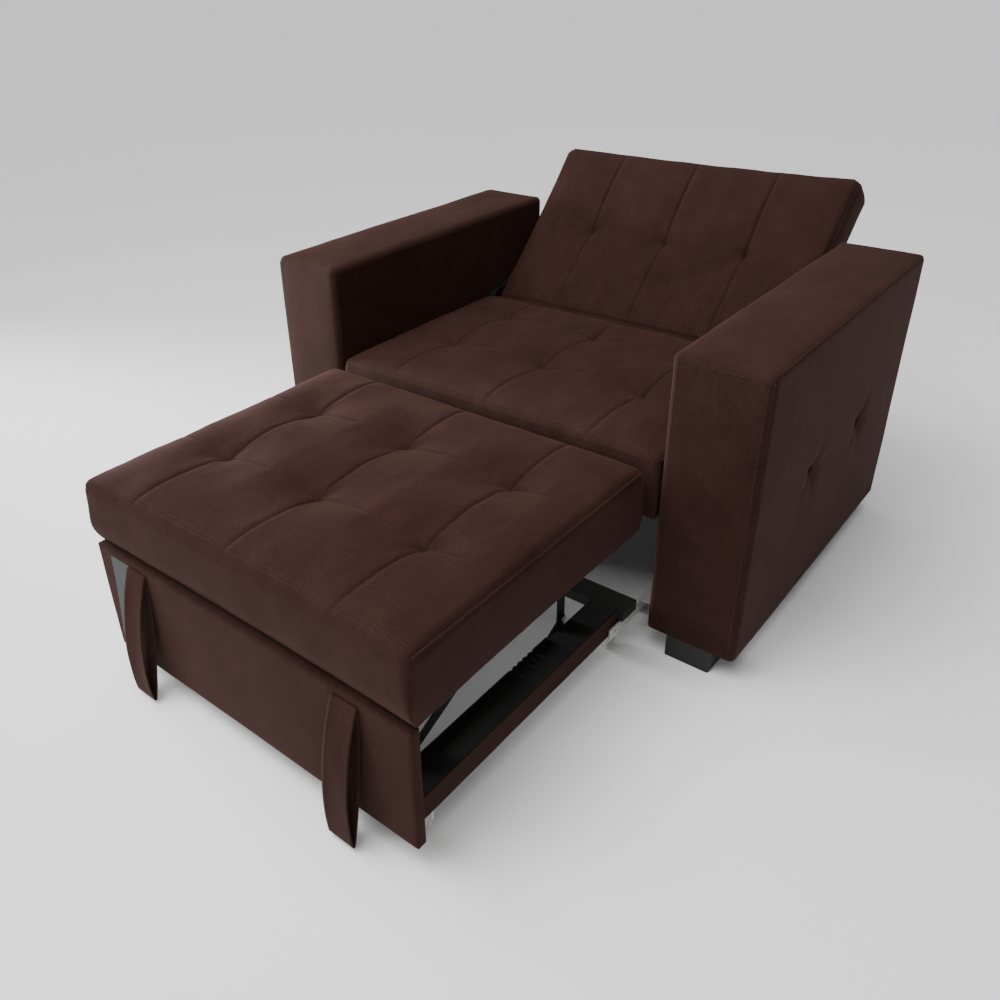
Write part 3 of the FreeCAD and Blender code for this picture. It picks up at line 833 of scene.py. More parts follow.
@dataclass
class TuftedCushion:
    """A boxed cushion with sewn channels, blind tufts and a crown, drawn lying flat.

    The edge is the radius of the upper edges and the foot that of the lower ones. Each tuft is
    a wide well with a small pit in it and folds that run out from it. The tuck draws in the
    lower front edge, and the nose rounds the front of a cushion that stands on it.
    """

    name: str
    body: str
    low: Array
    high: Array
    columns: tuple[float, ...]
    rows: tuple[float, ...]
    rows_sewn: bool = True
    edge: float = 0.013
    foot: float = 0.005
    crown: float = 0.004
    plump: float = 0.0175
    shoulder: float = 0.032
    well: float = 0.0195
    well_width: float = 0.056
    pit: float = 0.006
    pit_width: float = 0.012
    fold: float = 0.0011
    fold_ring: float = 0.024
    fold_width: float = 0.018
    channel: float = 0.0042
    channel_width: float = 0.003
    bow: float = 0.004
    belly: float = 0.003
    seam: float = 0.0016
    seam_width: float = 0.0028
    tuck: float = 0.0
    tuck_height: float = 0.045
    tuck_depth: float = 0.06
    nose: float = 0.0
    uneven: float = 0.0011
    uneven_fine: float = 0.0004
    step: float = 0.0066
    step_up: float = 0.0085
    sewn_inset: float = 0.0125
    sewn_gap: float = 0.0065
    welt_short: float = 0.012
    welt_drop: float = 0.0045
    seed: float = 1.0

    def heights(self, x: Array, y: Array) -> Array:
        """The relief of the sewn top.

        Args:
            x: places across, in metres.
            y: places along, in metres.

        Returns:
            The height over the cushion's edge at each place.
        """
        mid = (self.low + self.high) / 2
        half = (self.high - self.low) / 2
        u = np.clip((x - mid[0]) / half[0], -1, 1)
        v = np.clip((y - mid[1]) / half[1], -1, 1)
        rim_x = half[0] - np.abs(x - mid[0])
        rim_y = half[1] - np.abs(y - mid[1])
        full = (1 - np.exp(-np.clip(rim_x, 0, None) / self.shoulder)) * (
            1 - np.exp(-np.clip(rim_y, 0, None) / self.shoulder)
        )
        rise = self.crown * (1 - u**2) * (1 - v**2) + self.plump * full
        dip = np.zeros_like(x)
        for place in self.columns:
            dip = np.maximum(dip, bell(x - place, self.channel_width))
        if self.rows_sewn:
            for place in self.rows:
                dip = np.maximum(dip, bell(y - place, self.channel_width))
        pull = np.zeros_like(x)
        for i, cx in enumerate(self.columns):
            for j, cy in enumerate(self.rows):
                dx, dy = x - cx, y - cy
                away = np.hypot(dx, dy)
                angle = np.arctan2(dy, dx)
                turn = self.seed + 1.7 * i + 2.3 * j
                spokes = np.cos(3 * angle + turn) + 0.7 * np.cos(5 * angle - 2.1 * turn)
                ring = np.exp(-(((away - self.fold_ring) / self.fold_width) ** 2))
                deep = self.well * np.exp(-((away / self.well_width) ** 1.15))
                pit = self.pit * np.exp(-((away / self.pit_width) ** 1.5))
                pull = np.maximum(pull, deep + pit)
                rise = rise + spokes * ring * self.fold
        return rise - pull - self.channel * dip * full

    def shape(self) -> tuple[Array, list[tuple[int, ...]]]:
        """Works out the cushion's skin.

        Returns:
            Its points and quads, lying flat.
        """
        low, high = self.low, self.high
        upper = high[2] - self.edge * 0.9
        ends = (low[0] + self.edge / 2, high[0] - self.edge / 2)
        sides = (low[1] + self.edge / 2, high[1] - self.edge / 2)
        levels = (upper, low[2] + 0.004, high[2] - 0.005)
        points, quads = lattice(
            ticks(low[0], high[0], self.step, (*self.columns, *ends), 0.0105),
            ticks(low[1], high[1], self.step, (*self.rows, *sides), 0.0105),
            ticks(low[2], high[2], self.step_up, levels, 0.008),
        )
        mid, half = (low + high) / 2, (high - low) / 2
        u = (points[:, 0] - mid[0]) / half[0]
        v = (points[:, 1] - mid[1]) / half[1]
        w = (points[:, 2] - low[2]) / (high[2] - low[2])
        share = np.clip(w * 2.4 - 0.5, 0, 1)
        share = share * share * (3 - 2 * share)
        points = rounded(points, low, high, self.foot + (self.edge - self.foot) * share)
        level = np.clip((points[:, 2] - (high[2] - self.edge)) / self.edge, 0, 1)
        points[:, 2] += level * self.heights(points[:, 0], points[:, 1])
        out_x = np.sign(u) * np.abs(u) ** FACE_POWER
        out_y = np.sign(v) * np.abs(v) ** FACE_POWER
        swell = self.belly * (1 - (2 * np.clip(w, 0, 1) - 1) ** 2)
        points[:, 0] -= out_x * (self.bow * (1 - v**2) - swell)
        points[:, 1] -= out_y * (self.bow * (1 - u**2) - swell)
        line = self.seam * bell(points[:, 2] - upper, self.seam_width)
        points[:, 0] -= out_x * line
        points[:, 1] -= out_y * line
        if self.tuck:
            up = np.clip(1 - (points[:, 2] - low[2]) / self.tuck_height, 0, 1)
            front = np.clip(1 - (points[:, 1] - low[1]) / self.tuck_depth, 0, 1)
            points[:, 1] += self.tuck * up**2 * front
        if self.nose:
            z = points[:, 2] - (high[2] - self.nose)
            ahead = np.sqrt(np.clip(self.nose**2 - z**2, 0, None))
            points[:, 1] -= ahead * (np.clip(-v, 0, 1) ** FACE_POWER)
        drift = ripples(points, 0.075, self.seed) * self.uneven
        drift = drift + ripples(points, 0.024, -self.seed) * self.uneven_fine
        points[:, 2] += drift * np.clip(w * 2 - 0.6, 0, 1)
        points[:, 0] += drift * out_x * 0.8
        points[:, 1] += drift * out_y * 0.8
        return points, quads

    def build(self, finish: bpy.types.Material, turn: Matrix | None = None) -> bpy.types.Object:
        """Args:
            finish: its fabric.
            turn: where the flat cushion goes, or None if it lies as drawn.

        Returns:
            The cushion.
        """
        points, quads = self.shape()
        obj = mesh_object(self.name + "_form", points, quads, finish)
        if turn is not None:
            obj.data.transform(turn)
            obj.data.update()
        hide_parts(self.name)
        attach(obj, self.body)
        return obj

    def run(
        self, edge: Edge, inset: float, short: float, z: float
    ) -> tuple[tuple[float, ...], tuple[float, ...]]:
        """A straight run beside one edge of the flat cushion.

        Args:
            edge: which edge.
            inset: how far inside that edge the run is.
            short: how far from the corners it ends.
            z: its height.

        Returns:
            Its two ends.
        """
        x0, x1, y0, y1 = self.low[0], self.high[0], self.low[1], self.high[1]
        if edge in (Edge.FRONT, Edge.REAR):
            y = y0 + inset if edge is Edge.FRONT else y1 - inset
            return (x0 + short, y, z), (x1 - short, y, z)
        x = x0 + inset if edge is Edge.LEFT else x1 - inset
        return (x, y0 + short, z), (x, y1 - short, z)

    def sewn_lines(
        self, surface: bpy.types.Object, edge: Edge, turn: Matrix | None
    ) -> list[Array]:
        """Two lines of stitching on the top, beside one edge.

        Args:
            surface: the finished cushion.
            edge: which edge.
            turn: the cushion's tilt, or None.

        Returns:
            The lines.
        """
        down = Vector((0, 0, -1)) if turn is None else turn.to_3x3() @ Vector((0, 0, -1))
        lines = []
        for inset in (self.sewn_inset, self.sewn_inset + self.sewn_gap):
            ends = self.run(edge, inset, inset, self.high[2] + 0.02)
            lines.append(laid_on(surface, moved(straight(*ends, step=0.006), turn), down))
        return [line for line in lines if len(line) > 1]

    def welt_lines(
        self, surface: bpy.types.Object, edges: Sequence[Edge], turn: Matrix | None
    ) -> list[Array]:
        """Lines for the welt along the top edges.

        Args:
            surface: the finished cushion.
            edges: which edges.
            turn: the cushion's tilt, or None.

        Returns:
            The lines.
        """
        lines = []
        for edge in edges:
            ends = self.run(edge, 0.0, self.welt_short, self.high[2] - self.welt_drop)
            way = Vector((-edge.value[0], -edge.value[1], -1))
            if turn is not None:
                way = turn.to_3x3() @ way
            lines.append(laid_on(surface, moved(straight(*ends, 0.005), turn), way, 0.0004))
        return [line for line in lines if len(line) > 2]


@dataclass
class BoxArm:
    """A padded box arm with two buttoned dimples on its outer side.

    The corner is how far a seam stays away from the next one, and the insets are how far the
    stitching is from the front's edges.
    """

    side: Side
    finish: bpy.types.Material
    thread: StitchTree
    edge: float = 0.0115
    swell: float = 0.0035
    inner_share: float = 0.25
    step: float = 0.011
    dimple: float = 0.0087
    dimple_width: float = 0.024
    crease: float = 0.0009
    uneven: float = 0.0014
    uneven_fine: float = 0.0004
    inner_slack: float = 0.0004
    outer_slack: float = 0.004
    corner: float = 0.012
    top_inset: float = 0.011
    side_inset: float = 0.0105
    button_radius: float = 0.011

    def build(self) -> bpy.types.Object:
        """Makes the arm's cover with its seams and dimples.

        Returns:
            The cover.
        """
        node = "arm_cover_" + self.side.word
        low, high = node_box(node)
        points, quads = self.shape(low, high)
        obj = mesh_object(node + "_form", points, quads, self.finish)
        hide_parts(node)
        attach(obj, "base")
        self.stitch(obj, low, high)
        self.trim(obj, low, high)
        return obj

    def shape(self, low: Array, high: Array) -> tuple[Array, list[tuple[int, ...]]]:
        """Works out the cover's skin.

        Args:
            low: the cover's lowest corner.
            high: its highest corner.

        Returns:
            Its points and quads.
        """
        buttons = self.button_places()
        ends_x = (low[0] + self.edge / 2, high[0] - self.edge / 2)
        ends_y = (low[1] + self.edge / 2, high[1] - self.edge / 2)
        points, quads = lattice(
            ticks(low[0], high[0], self.step, ends_x, 0.012),
            ticks(low[1], high[1], self.step, (*ends_y, *(b[0] for b in buttons)), 0.02),
            ticks(low[2], high[2], self.step, (high[2] - self.edge / 2, buttons[0][1]), 0.02),
        )
        unit = (points - (low + high) / 2) / ((high - low) / 2)
        square_foot = low - np.array([0, 0, 2 * self.edge])
        points = rounded(points, square_foot, high, self.edge)
        points[:, 2] = np.maximum(points[:, 2], low[2])
        outer = self.side.value
        for axis in range(3):
            first, second = (a for a in range(3) if a != axis)
            face = np.abs(unit[:, axis]) ** FACE_POWER
            puff = (1 - unit[:, first] ** 4) * (1 - unit[:, second] ** 4)
            if axis == 2:
                face = face * (unit[:, 2] > 0)
            if axis == 0:
                face = face * np.where(unit[:, 0] * outer > 0, 1.0, self.inner_share)
            points[:, axis] += np.sign(unit[:, axis]) * face * puff * self.swell
        facing = np.clip(unit[:, 0] * outer, 0, 1) ** FACE_POWER
        for y, z in buttons:
            dy, dz = points[:, 1] - y, points[:, 2] - z
            away = np.hypot(dy, dz)
            pit = np.exp(-((away / self.dimple_width) ** 1.7))
            pull = np.cos(5 * np.arctan2(dz, dy) + 0.6) * np.exp(-((away - 0.04) ** 2) / 0.0009)
            points[:, 0] -= outer * facing * (self.dimple * pit + self.crease * pull)
        drift = ripples(points, 0.12, 3.0 * outer) * self.uneven
        drift = drift + ripples(points, 0.035, 5.0) * self.uneven_fine
        flank = np.abs(unit[:, 0]) ** FACE_POWER
        points[:, 0] += drift * flank * np.sign(unit[:, 0]) * 0.7
        points[:, 2] += drift * (np.clip(unit[:, 2], 0, 1) ** FACE_POWER)
        inmost, outmost = sorted((low[0] * outer, high[0] * outer))
        limits = (inmost - self.inner_slack, outmost + self.outer_slack)
        points[:, 0] = outer * np.clip(points[:, 0] * outer, *limits)
        return points, quads

    def button_places(self) -> list[tuple[float, float]]:
        """Where the arm's buttons are, from the button node's own box.

        Returns:
            Y and Z of each button.
        """
        low, high = node_box("arm_buttons")
        z = (low[2] + high[2]) / 2
        return [(low[1] + self.button_radius, z), (high[1] - self.button_radius, z)]

    def stitch(self, cover: bpy.types.Object, low: Array, high: Array) -> None:
        """Sews lines beside the arm's front edges.

        Args:
            cover: the arm's cover.
            low: its lowest corner.
            high: its highest corner.
        """
        x0, x1, y0, z0, z1 = low[0], high[0], low[1], low[2] + 0.01, high[2]
        c, top, side = self.corner, self.top_inset, self.side_inset
        seams = [
            ((x0 + c, y0 + top, z1), (x1 - c, y0 + top, z1), (0, 0, -1)),
            ((x0 + c, y0, z1 - top), (x1 - c, y0, z1 - top), (0, 1, 0)),
            ((x0 + side, y0, z0), (x0 + side, y0, z1 - c), (0, 1, 0)),
            ((x1 - side, y0, z0), (x1 - side, y0, z1 - c), (0, 1, 0)),
        ]
        paths = [laid_on(cover, straight(a, b, 0.005), way, 0.0003) for a, b, way in seams]
        paths = [path for path in paths if len(path) > 1]
        self.thread.sew("arm_stitches_" + self.side.word, paths, "base")

    def trim(self, cover: bpy.types.Object, low: Array, high: Array) -> None:
        """Runs a welt along the outer side's seams.

        Args:
            cover: the arm's cover.
            low: its lowest corner.
            high: its highest corner.
        """
        out, c = self.side.value, self.corner
        x = high[0] if out > 0 else low[0]
        y0, y1, z0, z1 = low[1], high[1], low[2] + 0.006, high[2]
        edges = [
            ((x, y0 + c, z1), (x, y1 - c, z1), (-out, 0, -1)),
            ((x, y0, z0), (x, y0, z1 - c), (-out, 1, 0)),
            ((x, y1, z0), (x, y1, z1 - c), (-out, -1, 0)),
        ]
        lines = [laid_on(cover, straight(a, b, 0.006), way, 0.0002) for a, b, way in edges]
        Welt(0.0017).build("arm_welt_" + self.side.word, lines, "base", self.finish)


@dataclass
class CoveredBoard:
    """A board wrapped in fabric over thin wadding."""

    node: str
    body: str
    edge: float
    proud: float = 0.0
    swell: float = 0.0022

    def build(self, finish: bpy.types.Material) -> bpy.types.Object:
        """Makes the wrapped board.

        Args:
            finish: its fabric.

        Returns:
            The board.
        """
        low, high = node_box(self.node)
        high[2] += self.proud
        close_y = (low[1] + self.edge / 2, high[1] - self.edge / 2)
        close_z = (low[2] + self.edge / 2, high[2] - self.edge / 2)
        xs = ticks(low[0], high[0], 0.014, (low[0] + 0.005, high[0] - 0.005), 0.006)
        ys = ticks(low[1], high[1], 0.006, close_y, 0.005)
        zs = ticks(low[2], high[2], 0.014, close_z, 0.006)
        points, quads = lattice(xs, ys, zs)
        unit = (points - (low + high) / 2) / ((high - low) / 2)
        points = rounded(points, low, high, self.edge)
        puff = (1 - unit[:, 0] ** 4) * (1 - unit[:, 2] ** 4) * (np.abs(unit[:, 1]) ** 12)
        drift = ripples(points, 0.09, 2.0) * 0.0007
        front = np.clip(-unit[:, 1], 0, 1) ** 12
        points[:, 1] -= front * (self.swell * puff + drift)
        obj = mesh_object(self.node + "_form", points, quads, finish)
        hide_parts(self.node)
        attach(obj, self.body)
        return obj


def round_through(
    a: Sequence[float], middle: Sequence[float], b: Sequence[float], count: int
) -> Array:
    """Points on the circle through three places, from the first to the last.

    Args:
        a: the first place, as two numbers.
        middle: a place between them.
        b: the last place.
        count: how many points.

    Returns:
        The points, without the last.
    """
    (ax, ay), (bx, by), (cx, cy) = a, middle, b
    d = 2 * (ax * (by - cy) + bx * (cy - ay) + cx * (ay - by))
    sa, sb, sc = ax * ax + ay * ay, bx * bx + by * by, cx * cx + cy * cy
    ux = (sa * (by - cy) + sb * (cy - ay) + sc * (ay - by)) / d
    uy = (sa * (cx - bx) + sb * (ax - cx) + sc * (bx - ax)) / d
    radius = math.hypot(ax - ux, ay - uy)
    start = math.atan2(ay - uy, ax - ux)
    via = (math.atan2(by - uy, bx - ux) - start) % (2 * math.pi)
    sweep = (math.atan2(cy - uy, cx - ux) - start) % (2 * math.pi)
    if via > sweep:
        sweep -= 2 * math.pi
    angles = start + sweep * np.arange(count) / count
    return np.stack([ux + radius * np.cos(angles), uy + radius * np.sin(angles)], axis=1)


@dataclass
class PullStrap:
    """A hanging loop of folded fabric band.

    The fold is the radius of its two ends. The lean and the gap are how far its two sides stand
    off the panel halfway down.
    """

    side: Side
    finish: bpy.types.Material
    thread: StitchTree
    thickness: float = 0.0015
    fold: float = 0.0025
    lean: float = 0.3
    gap: float = 0.024
    curl: float = 0.0014
    wave: float = 0.0012
    columns: int = 14
    hem: float = 0.004
    hem_short: float = 0.012

    def outline(self, low: Array, high: Array) -> Array:
        """The loop's middle line, seen from the side.

        Args:
            low: the strap's lowest corner.
            high: its highest corner.

        Returns:
            Points as Y and Z, closed.
        """
        r, t = self.fold, self.thickness / 2
        z0, z1 = low[2] + r, high[2] - r
        head, foot = high[1] - r, low[1] + r
        swing = high[1] - low[1]
        mid = (z0 + z1) / 2
        near = high[1] - swing * self.lean
        far = near - self.gap
        stops = [
            ((head - r + t, z1), (far + t, mid), (foot - r + t, z0), 46),
            ((foot - r + t, z0), (foot, z0 - r + t), (foot + r - t, z0), 8),
            ((foot + r - t, z0), (near - t, mid), (head + r - t, z1), 46),
            ((head + r - t, z1), (head, z1 + r - t), (head - r + t, z1), 8),
        ]
        return np.concatenate([round_through(*s) for s in stops])

    def skin(self, low: Array, high: Array, line: Array) -> Array:
        """The band's points, first those outside the loop and then those inside.

        Args:
            low: the strap's lowest corner.
            high: its highest corner.
            line: the loop's middle line.

        Returns:
            The points, row after row across the band.
        """
        ahead = np.roll(line, -1, axis=0) - np.roll(line, 1, axis=0)
        ahead /= np.linalg.norm(ahead, axis=1, keepdims=True)
        normal = np.stack([ahead[:, 1], -ahead[:, 0]], axis=1)
        if ((line - line.mean(axis=0)) * normal).sum() < 0:
            normal = -normal
        fade_up = np.clip((high[2] - line[:, 1]) / 0.05, 0, 1)
        fade = fade_up * np.clip((line[:, 1] - low[2]) / 0.03, 0, 1)
        half = self.thickness / 2
        points = []
        for shift in (half, -half):
            for i in range(len(line)):
                for x in np.linspace(low[0], high[0], self.columns + 1):
                    u = (x - low[0]) / (high[0] - low[0]) * 2 - 1
                    where = Vector((x * 30, line[i][0] * 18, line[i][1] * 14))
                    wave = noise.noise(where) * self.wave
                    bend = fade[i] * (self.curl * (u * u - 0.35) + wave)
                    y, z = line[i] + normal[i] * (shift + bend)
                    points.append((x, y, z))
        return np.array(points)

    def faces(self, count: int) -> list[tuple[int, ...]]:
        """The band's faces.

        Args:
            count: how many rows of points there are round the loop.

        Returns:
            The outer, inner and edge faces.
        """
        width = self.columns + 1
        inner = count * width
        faces = []
        for i in range(count):
            start, after = i * width, (i + 1) % count * width
            for k in range(self.columns):
                a, b = start + k, after + k
                faces.append((a, a + 1, b + 1, b))
                faces.append((inner + a, inner + b, inner + b + 1, inner + a + 1))
            for k, turned in ((0, False), (self.columns, True)):
                a, b = start + k, after + k
                quad = (a, b, inner + b, inner + a)
                faces.append(quad[::-1] if turned else quad)
        return faces

    def build(self) -> bpy.types.Object:
        """Makes the strap with a hem line on each edge.

        Returns:
            The strap.
        """
        node = "strap_" + self.side.word
        low, high = node_box(node)
        line = self.outline(low, high)
        points = self.skin(low, high, line)
        obj = mesh_object(node + "_band", points, self.faces(len(line)), self.finish)
        outward(obj)
        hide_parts(node)
        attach(obj, "drawer")
        paths = []
        for x in (low[0] + self.hem, high[0] - self.hem):
            bottom, top = low[2] + self.hem_short, high[2] - self.hem_short
            run = straight((x, low[1], bottom), (x, low[1], top))
            paths.append(laid_on(obj, run, (0, 1, 0)))
        paths = [path for path in paths if len(path) > 1]
        self.thread.sew("strap_stitches_" + self.side.word, paths, "drawer")
        return obj


@dataclass
class DustCloth:
    """A thin black cloth stapled under a frame, slightly slack."""

    node: str
    body: str
    frame_node: str
    finish: bpy.types.Material
    staples: StitchTree
    drop: float = 0.0012
    slack: float = 0.004
    thickness: float = 0.0008
    grow: float = 0.008
    pucker: float = 0.0008
    inset: float = 0.013

    def build(self, turn: Matrix | None = None) -> None:
        """Makes the cloth and a row of staples round it.

        Args:
            turn: the tilt of the back rest, or None for a level cloth.
        """
        low, high = flat_box(self.node, turn)
        xs = np.linspace(low[0] - self.grow, high[0] + self.grow, 60)
        ys = np.linspace(low[1] - self.grow, high[1] + self.grow, 46)
        zs = np.array([low[2] - self.drop, low[2] - self.drop + self.thickness])
        points, quads = lattice(xs, ys, zs)
        mid, half = (low + high) / 2, (high - low) / 2 + self.grow
        u, v = (points[:, 0] - mid[0]) / half[0], (points[:, 1] - mid[1]) / half[1]
        sag = (1 - u**2) * (1 - v**2)
        pucker = ripples(points * np.array([1, 1, 0]), 0.05, 4.0) * self.pucker
        points[:, 2] -= self.slack * sag - pucker * np.clip(sag * 4, 0, 1)
        obj = mesh_object(self.node + "_sheet", points, quads, self.finish)
        x0, x1 = xs[0] + self.inset, xs[-1] - self.inset
        y0, y1 = ys[0] + self.inset, ys[-1] - self.inset
        z = low[2] - self.drop - 0.0003
        corners = [(x0, y0, z), (x1, y0, z), (x1, y1, z), (x0, y1, z)]
        ends = zip(corners, corners[1:] + corners[:1])
        edge = [moved(straight(a, b, 0.02), turn) for a, b in ends]
        if turn is not None:
            obj.data.transform(turn)
        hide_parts(self.node)
        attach(obj, self.body)
        name = self.node + "_staples"
        self.staples.sew(name, edge, self.body, STAPLE_PITCH, STAPLE_LENGTH)


def joint_record(name: str) -> dict:
    """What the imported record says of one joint.

    Args:
        name: the joint's name.

    Returns:
        Its entry.
    """
    joints = FRAME["record"]["behaviour"]["joints"]
    return next(joint for joint in joints if joint["name"] == name)


def back_turn() -> Matrix:
    """The turn that takes the back rest from lying flat to its tilt at rest.

    Returns:
        The turn, round the back rest's own pivot.
    """
    joint = joint_record("back_recline")
    tilt = -math.radians(joint["range_deg"][0])
    return Matrix.Translation(Vector(joint["pos_m"])) @ Matrix.Rotation(tilt, 4, "X")


def flat_box(node: str, turn: Matrix | None) -> tuple[Array, Array]:
    """A node's box before it is tilted.

    Args:
        node: the node's name.
        turn: its tilt, or None.

    Returns:
        Its lowest and its highest corner.
    """
    if turn is None:
        return node_box(node)
    back = turn.inverted()
    points = np.array([tuple(back @ v.co) for v in FRAME["nodes"][node].data.vertices])
    return points.min(axis=0), points.max(axis=0)


@dataclass
class Cushions:
    """The seat, the lifting pad and the back rest.

    The lobes are how far the sewn relief stands over the cushions' edges.
    """

    finish: bpy.types.Material
    thread: StitchTree
    lobe: float = 0.0135
    back_lobe: float = 0.009
    rear_gap: float = 0.0022

    def build(self) -> None:
        """Makes the three cushions and sews their edges."""
        self.seat()
        self.pad()
        self.back()

    def seat(self) -> None:
        """Makes the fixed seat."""
        low, high = node_box("seat_cushion")
        high[2] -= self.lobe
        high[1] -= self.rear_gap
        form = TuftedCushion(
            "seat_cushion",
            "base",
            low,
            high,
            columns=(-0.225, 0.0, 0.225),
            rows=(low[1] + 0.2, low[1] + 0.39),
            bow=0.0015,
            belly=0.0015,
            seed=2.0,
        )
        self.dress(form, "seat", Edge.FRONT, (Edge.LEFT, Edge.RIGHT))

    def pad(self) -> None:
        """Makes the pad on the lift."""
        low, high = node_box("pad_cushion")
        high[2] -= self.lobe
        form = TuftedCushion(
            "pad_cushion",
            "pad",
            low,
            high,
            columns=(-0.22, 0.0, 0.22),
            rows=(low[1] + 0.195, low[1] + 0.4),
            seed=5.0,
            tuck=0.0135,
            foot=0.003,
        )
        self.dress(form, "pad", Edge.FRONT, (Edge.LEFT, Edge.RIGHT))

    def back(self) -> None:
        """Makes the reclining back rest, drawn flat and then tilted."""
        turn = back_turn()
        low, high = flat_box("back_cushion", turn)
        nose = -low[1]
        high[2] -= self.back_lobe
        low[1] = 0.0
        form = TuftedCushion(
            "back_cushion",
            "back",
            low,
            high,
            columns=(-0.19, 0.0, 0.19),
            rows=(0.215,),
            rows_sewn=False,
            crown=0.002,
            plump=0.0125,
            well=0.016,
            nose=nose - 0.001,
            seed=8.0,
        )
        self.dress(form, "back", Edge.REAR, (Edge.LEFT, Edge.RIGHT, Edge.REAR), turn)

    def dress(
        self,
        form: TuftedCushion,
        word: str,
        sewn: Edge,
        welted: Sequence[Edge],
        turn: Matrix | None = None,
    ) -> None:
        """Makes one cushion with its stitching and its welt.

        Args:
            form: the cushion.
            word: what its trim is called after.
            sewn: the edge with two lines of stitching.
            welted: the edges with a welt.
            turn: its tilt, or None.
        """
        obj = form.build(self.finish, turn)
        self.thread.sew(word + "_stitches", form.sewn_lines(obj, sewn, turn), form.body)
        lines = form.welt_lines(obj, welted, turn)
        Welt().build(word + "_welt", lines, form.body, self.finish)


@dataclass
class RailSkirts:
    """The strips of fabric glued along the outer sides of the drawer rails."""

    thickness: float = 0.0016
    inset: float = 0.001
    edge: float = 0.0007

    wave: float = 0.0004

    def build(self, finish: bpy.types.Material) -> None:
        """Makes one strip on each rail.

        Args:
            finish: the fabric.
        """
        for side in Side:
            rail = "drawer_rail_" + side.word
            low, high = node_box(rail)
            outer = high[0] if side is Side.RIGHT else low[0]
            low, high = low + self.inset, high - self.inset
            low[0] = min(outer, outer + side.value * self.thickness)
            high[0] = low[0] + self.thickness
            xs = np.linspace(low[0], high[0], 4)
            ys = np.linspace(low[1], high[1], 90)
            zs = ticks(low[2], high[2], 0.006, (low[2] + 0.001, high[2] - 0.001), 0.002)
            points, quads = lattice(xs, ys, zs)
            points = rounded(points, low, high, self.edge)
            wave = np.clip(ripples(points, 0.05, 6.0) + 0.5, 0, 1) * self.wave
            away = np.abs(points[:, 0] - outer) > self.thickness / 2
            points[:, 0] += side.value * wave * away
            obj = mesh_object("rail_skirt_" + side.word, points, quads, finish)
            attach(obj, "drawer")


@dataclass
class Hardware:
    """Every rigid piece that keeps its own solid and gets its finish."""

    finishes: dict[str, bpy.types.Material]

    def dress(self) -> None:
        """Gives each node the finish that the record names."""
        slots = {s["node"]: s["material_slot"] for s in FRAME["record"]["subparts"]}
        for name, obj in FRAME["nodes"].items():
            material = self.finishes[slots[name]]
            if not obj.material_slots:
                obj.data.materials.append(material)
            for slot in obj.material_slots:
                slot.material = material
        log.info("dressed %d nodes", len(FRAME["nodes"]))


@dataclass
class RivetSet:
    """Bright rivet heads on the props, which the black paint leaves bare."""

    radius: float = 0.0052
    dome: float = 0.0004
    segments: int = 20
    rings: int = 5
    tip_share: float = 0.06

    def build(self, finish: bpy.types.Material) -> None:
        """Makes one domed head on each prop.

        Args:
            finish: the bare metal.
        """
        last, count = self.rings - 1, self.segments
        faces = []
        for i in range(last):
            a, b = i * count, (i + 1) * count
            for k in range(count):
                n = (k + 1) % count
                faces.append((a + k, a + n, b + n, b + k))
        faces.append(tuple(range(last * count, self.rings * count)))
        faces.append(tuple(reversed(range(count))))
        for side in Side:
            low, high = node_box("prop_" + side.word)
            face = high[0] if side is Side.RIGHT else low[0]
            at = joint_record(f"brace_{side.word}_fold")["pos_m"]
            points = []
            for i in range(self.rings):
                angle = math.pi / 2 * i / last
                r = self.radius * (math.cos(angle) if i < last else self.tip_share)
                x = face + side.value * self.dome * math.sin(angle)
                for k in range(count):
                    a = 2 * math.pi * k / count
                    points.append((x, at[1] + r * math.cos(a), at[2] + r * math.sin(a)))
            obj = mesh_object("prop_rivet_" + side.word, np.array(points), faces, finish)
            outward(obj)
            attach(obj, "prop_" + side.word)


# Studio


@dataclass(frozen=True)
class SoftBox:
    """A square soft light that is aimed at the object's middle."""

    name: str
    place: tuple[float, float, float]
    size: float
    power: float
    spread: float = 180.0

    def hang(self) -> None:
        """Hangs the light in its place."""
        data = bpy.data.lights.new(self.name, "AREA")
        data.size = self.size
        data.energy = self.power
        data.spread = math.radians(self.spread)
        light = linked(self.name, data)
        light.location = self.place
        aim = Vector((0.0, 0.0, 0.3)) - Vector(self.place)
        light.rotation_euler = aim.to_track_quat("-Z", "Y").to_euler()


BOXES = (
    SoftBox("key", (-1.1, -2.3, 1.9), 1.6, 17.0),
    SoftBox("top", (-0.3, -1.1, 2.3), 1.4, 46.0),
    SoftBox("low", (-3.0, -0.6, 0.55), 0.7, 16.0, 50.0),
)


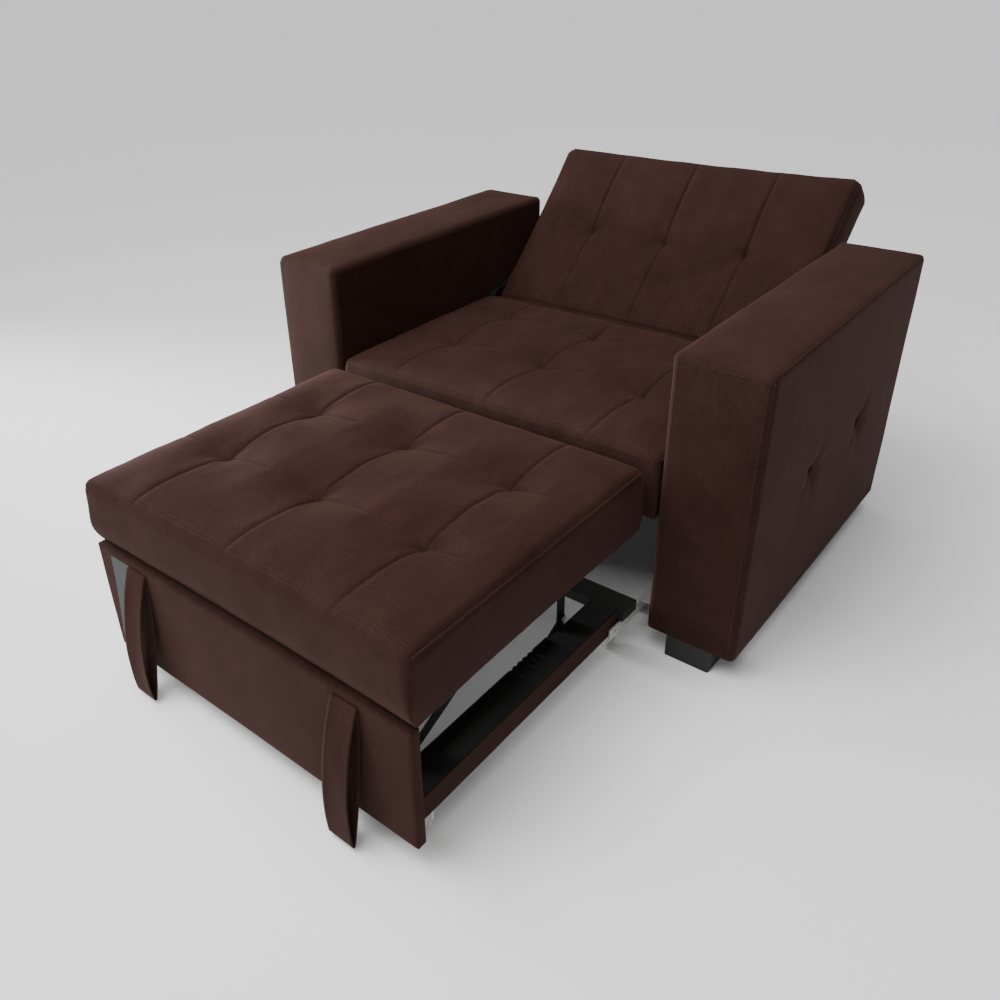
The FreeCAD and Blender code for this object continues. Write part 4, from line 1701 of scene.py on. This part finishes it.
@dataclass
class Studio:
    """A pale floor, soft light and the camera, whose angles are in degrees."""

    eye: tuple[float, float, float] = (0.9417, -1.3251, 1.1128)
    turn: float = 40.643
    tilt: float = 29.518
    roll: float = -2.045
    focal: float = 0.9088
    shift: tuple[float, float] = (0.053, -0.0315)
    pale: tuple[float, float, float] = (0.93, 0.93, 0.93)
    reach: float = 60.0
    world: float = 0.36
    sun: float = 2.0
    sun_angle: float = 70.0

    def build(self) -> None:
        """Sets up the floor, the lights and the camera."""
        self.floor()
        self.lights()
        self.camera()
        log.info("studio: floor, %d lights and camera", len(BOXES) + 1)

    def floor(self) -> None:
        """Lays a plain pale floor."""
        n = Nodes("floor_paint")
        tone = n.cloud(0.6, 2.0)
        shade = tuple(c * 0.985 for c in self.pale)
        n.link(n.ramp(tone, [(0.3, shade), (0.7, self.pale)]), n.shader.inputs["Base Color"])
        n.set(Roughness=0.9, Specular_IOR_Level=0.1)
        r, z = self.reach, -0.0004
        points = np.array([(-r, -r, z), (r, -r, z), (r, r, z), (-r, r, z)])
        mesh_object("floor", points, [(0, 1, 2, 3)], n.material)

    def lights(self) -> None:
        """Hangs large soft lights round the object."""
        world = bpy.data.worlds.new("studio")
        world.use_nodes = True
        shade = world.node_tree.nodes["Background"]
        shade.inputs["Color"].default_value = (1.0, 1.0, 1.0, 1.0)
        shade.inputs["Strength"].default_value = self.world
        bpy.context.scene.world = world
        sky = bpy.data.lights.new("sky", "SUN")
        sky.energy = self.sun
        sky.angle = math.radians(self.sun_angle)
        above = linked("sky", sky)
        above.rotation_euler = Vector((0.3, 0.36, -1.5)).to_track_quat("-Z", "Y").to_euler()
        for box in BOXES:
            box.hang()

    def camera(self) -> None:
        """Puts the camera where the photograph was taken from."""
        az, el, roll = (math.radians(a) for a in (self.turn, self.tilt, self.roll))
        back = Vector((math.sin(az) * math.cos(el), -math.cos(az) * math.cos(el), math.sin(el)))
        right = Vector((math.cos(az), math.sin(az), 0.0))
        up = back.cross(right)
        across = right * math.cos(roll) + up * math.sin(roll)
        above = up * math.cos(roll) - right * math.sin(roll)
        data = bpy.data.cameras.new("camera")
        data.sensor_width = 36.0
        data.lens = self.focal * data.sensor_width
        data.shift_x, data.shift_y = self.shift
        data.clip_end = self.reach
        camera = linked("camera", data)
        turn = Matrix((across, above, back)).transposed().to_4x4()
        camera.matrix_world = Matrix.Translation(Vector(self.eye)) @ turn
        bpy.context.scene.camera = camera


def main() -> None:
    """Builds every piece in order and reports it."""
    logging.basicConfig(level=logging.INFO, format="%(message)s")
    finishes = {slot: finish.make() for slot, finish in FINISHES.items()}
    suede, black = finishes["upholstery"], finishes["black_cloth"]
    thread = StitchTree(THREAD.make())
    staples = StitchTree(finishes["galvanised"])
    Hardware(finishes).dress()
    Cushions(suede, thread).build()
    for side in Side:
        BoxArm(side, suede, thread).build()
        PullStrap(side, suede, thread).build()
    CoveredBoard("front_panel", "drawer", edge=0.003, proud=0.0075).build(suede)
    CoveredBoard("rear_panel", "base", edge=0.004).build(suede)
    RailSkirts().build(suede)
    DustCloth("seat_dust_cloth", "base", "seat_frame", black, staples).build()
    DustCloth(
        "pad_dust_cloth", "pad", "pad_frame", black, staples, drop=0.0, slack=0.0006
    ).build()
    DustCloth("back_rear_cloth", "back", "back_frame", black, staples).build(back_turn())
    RivetSet().build(finishes["galvanised"])
    Studio().build()


if __name__ == "__main__":
    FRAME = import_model()
    main()
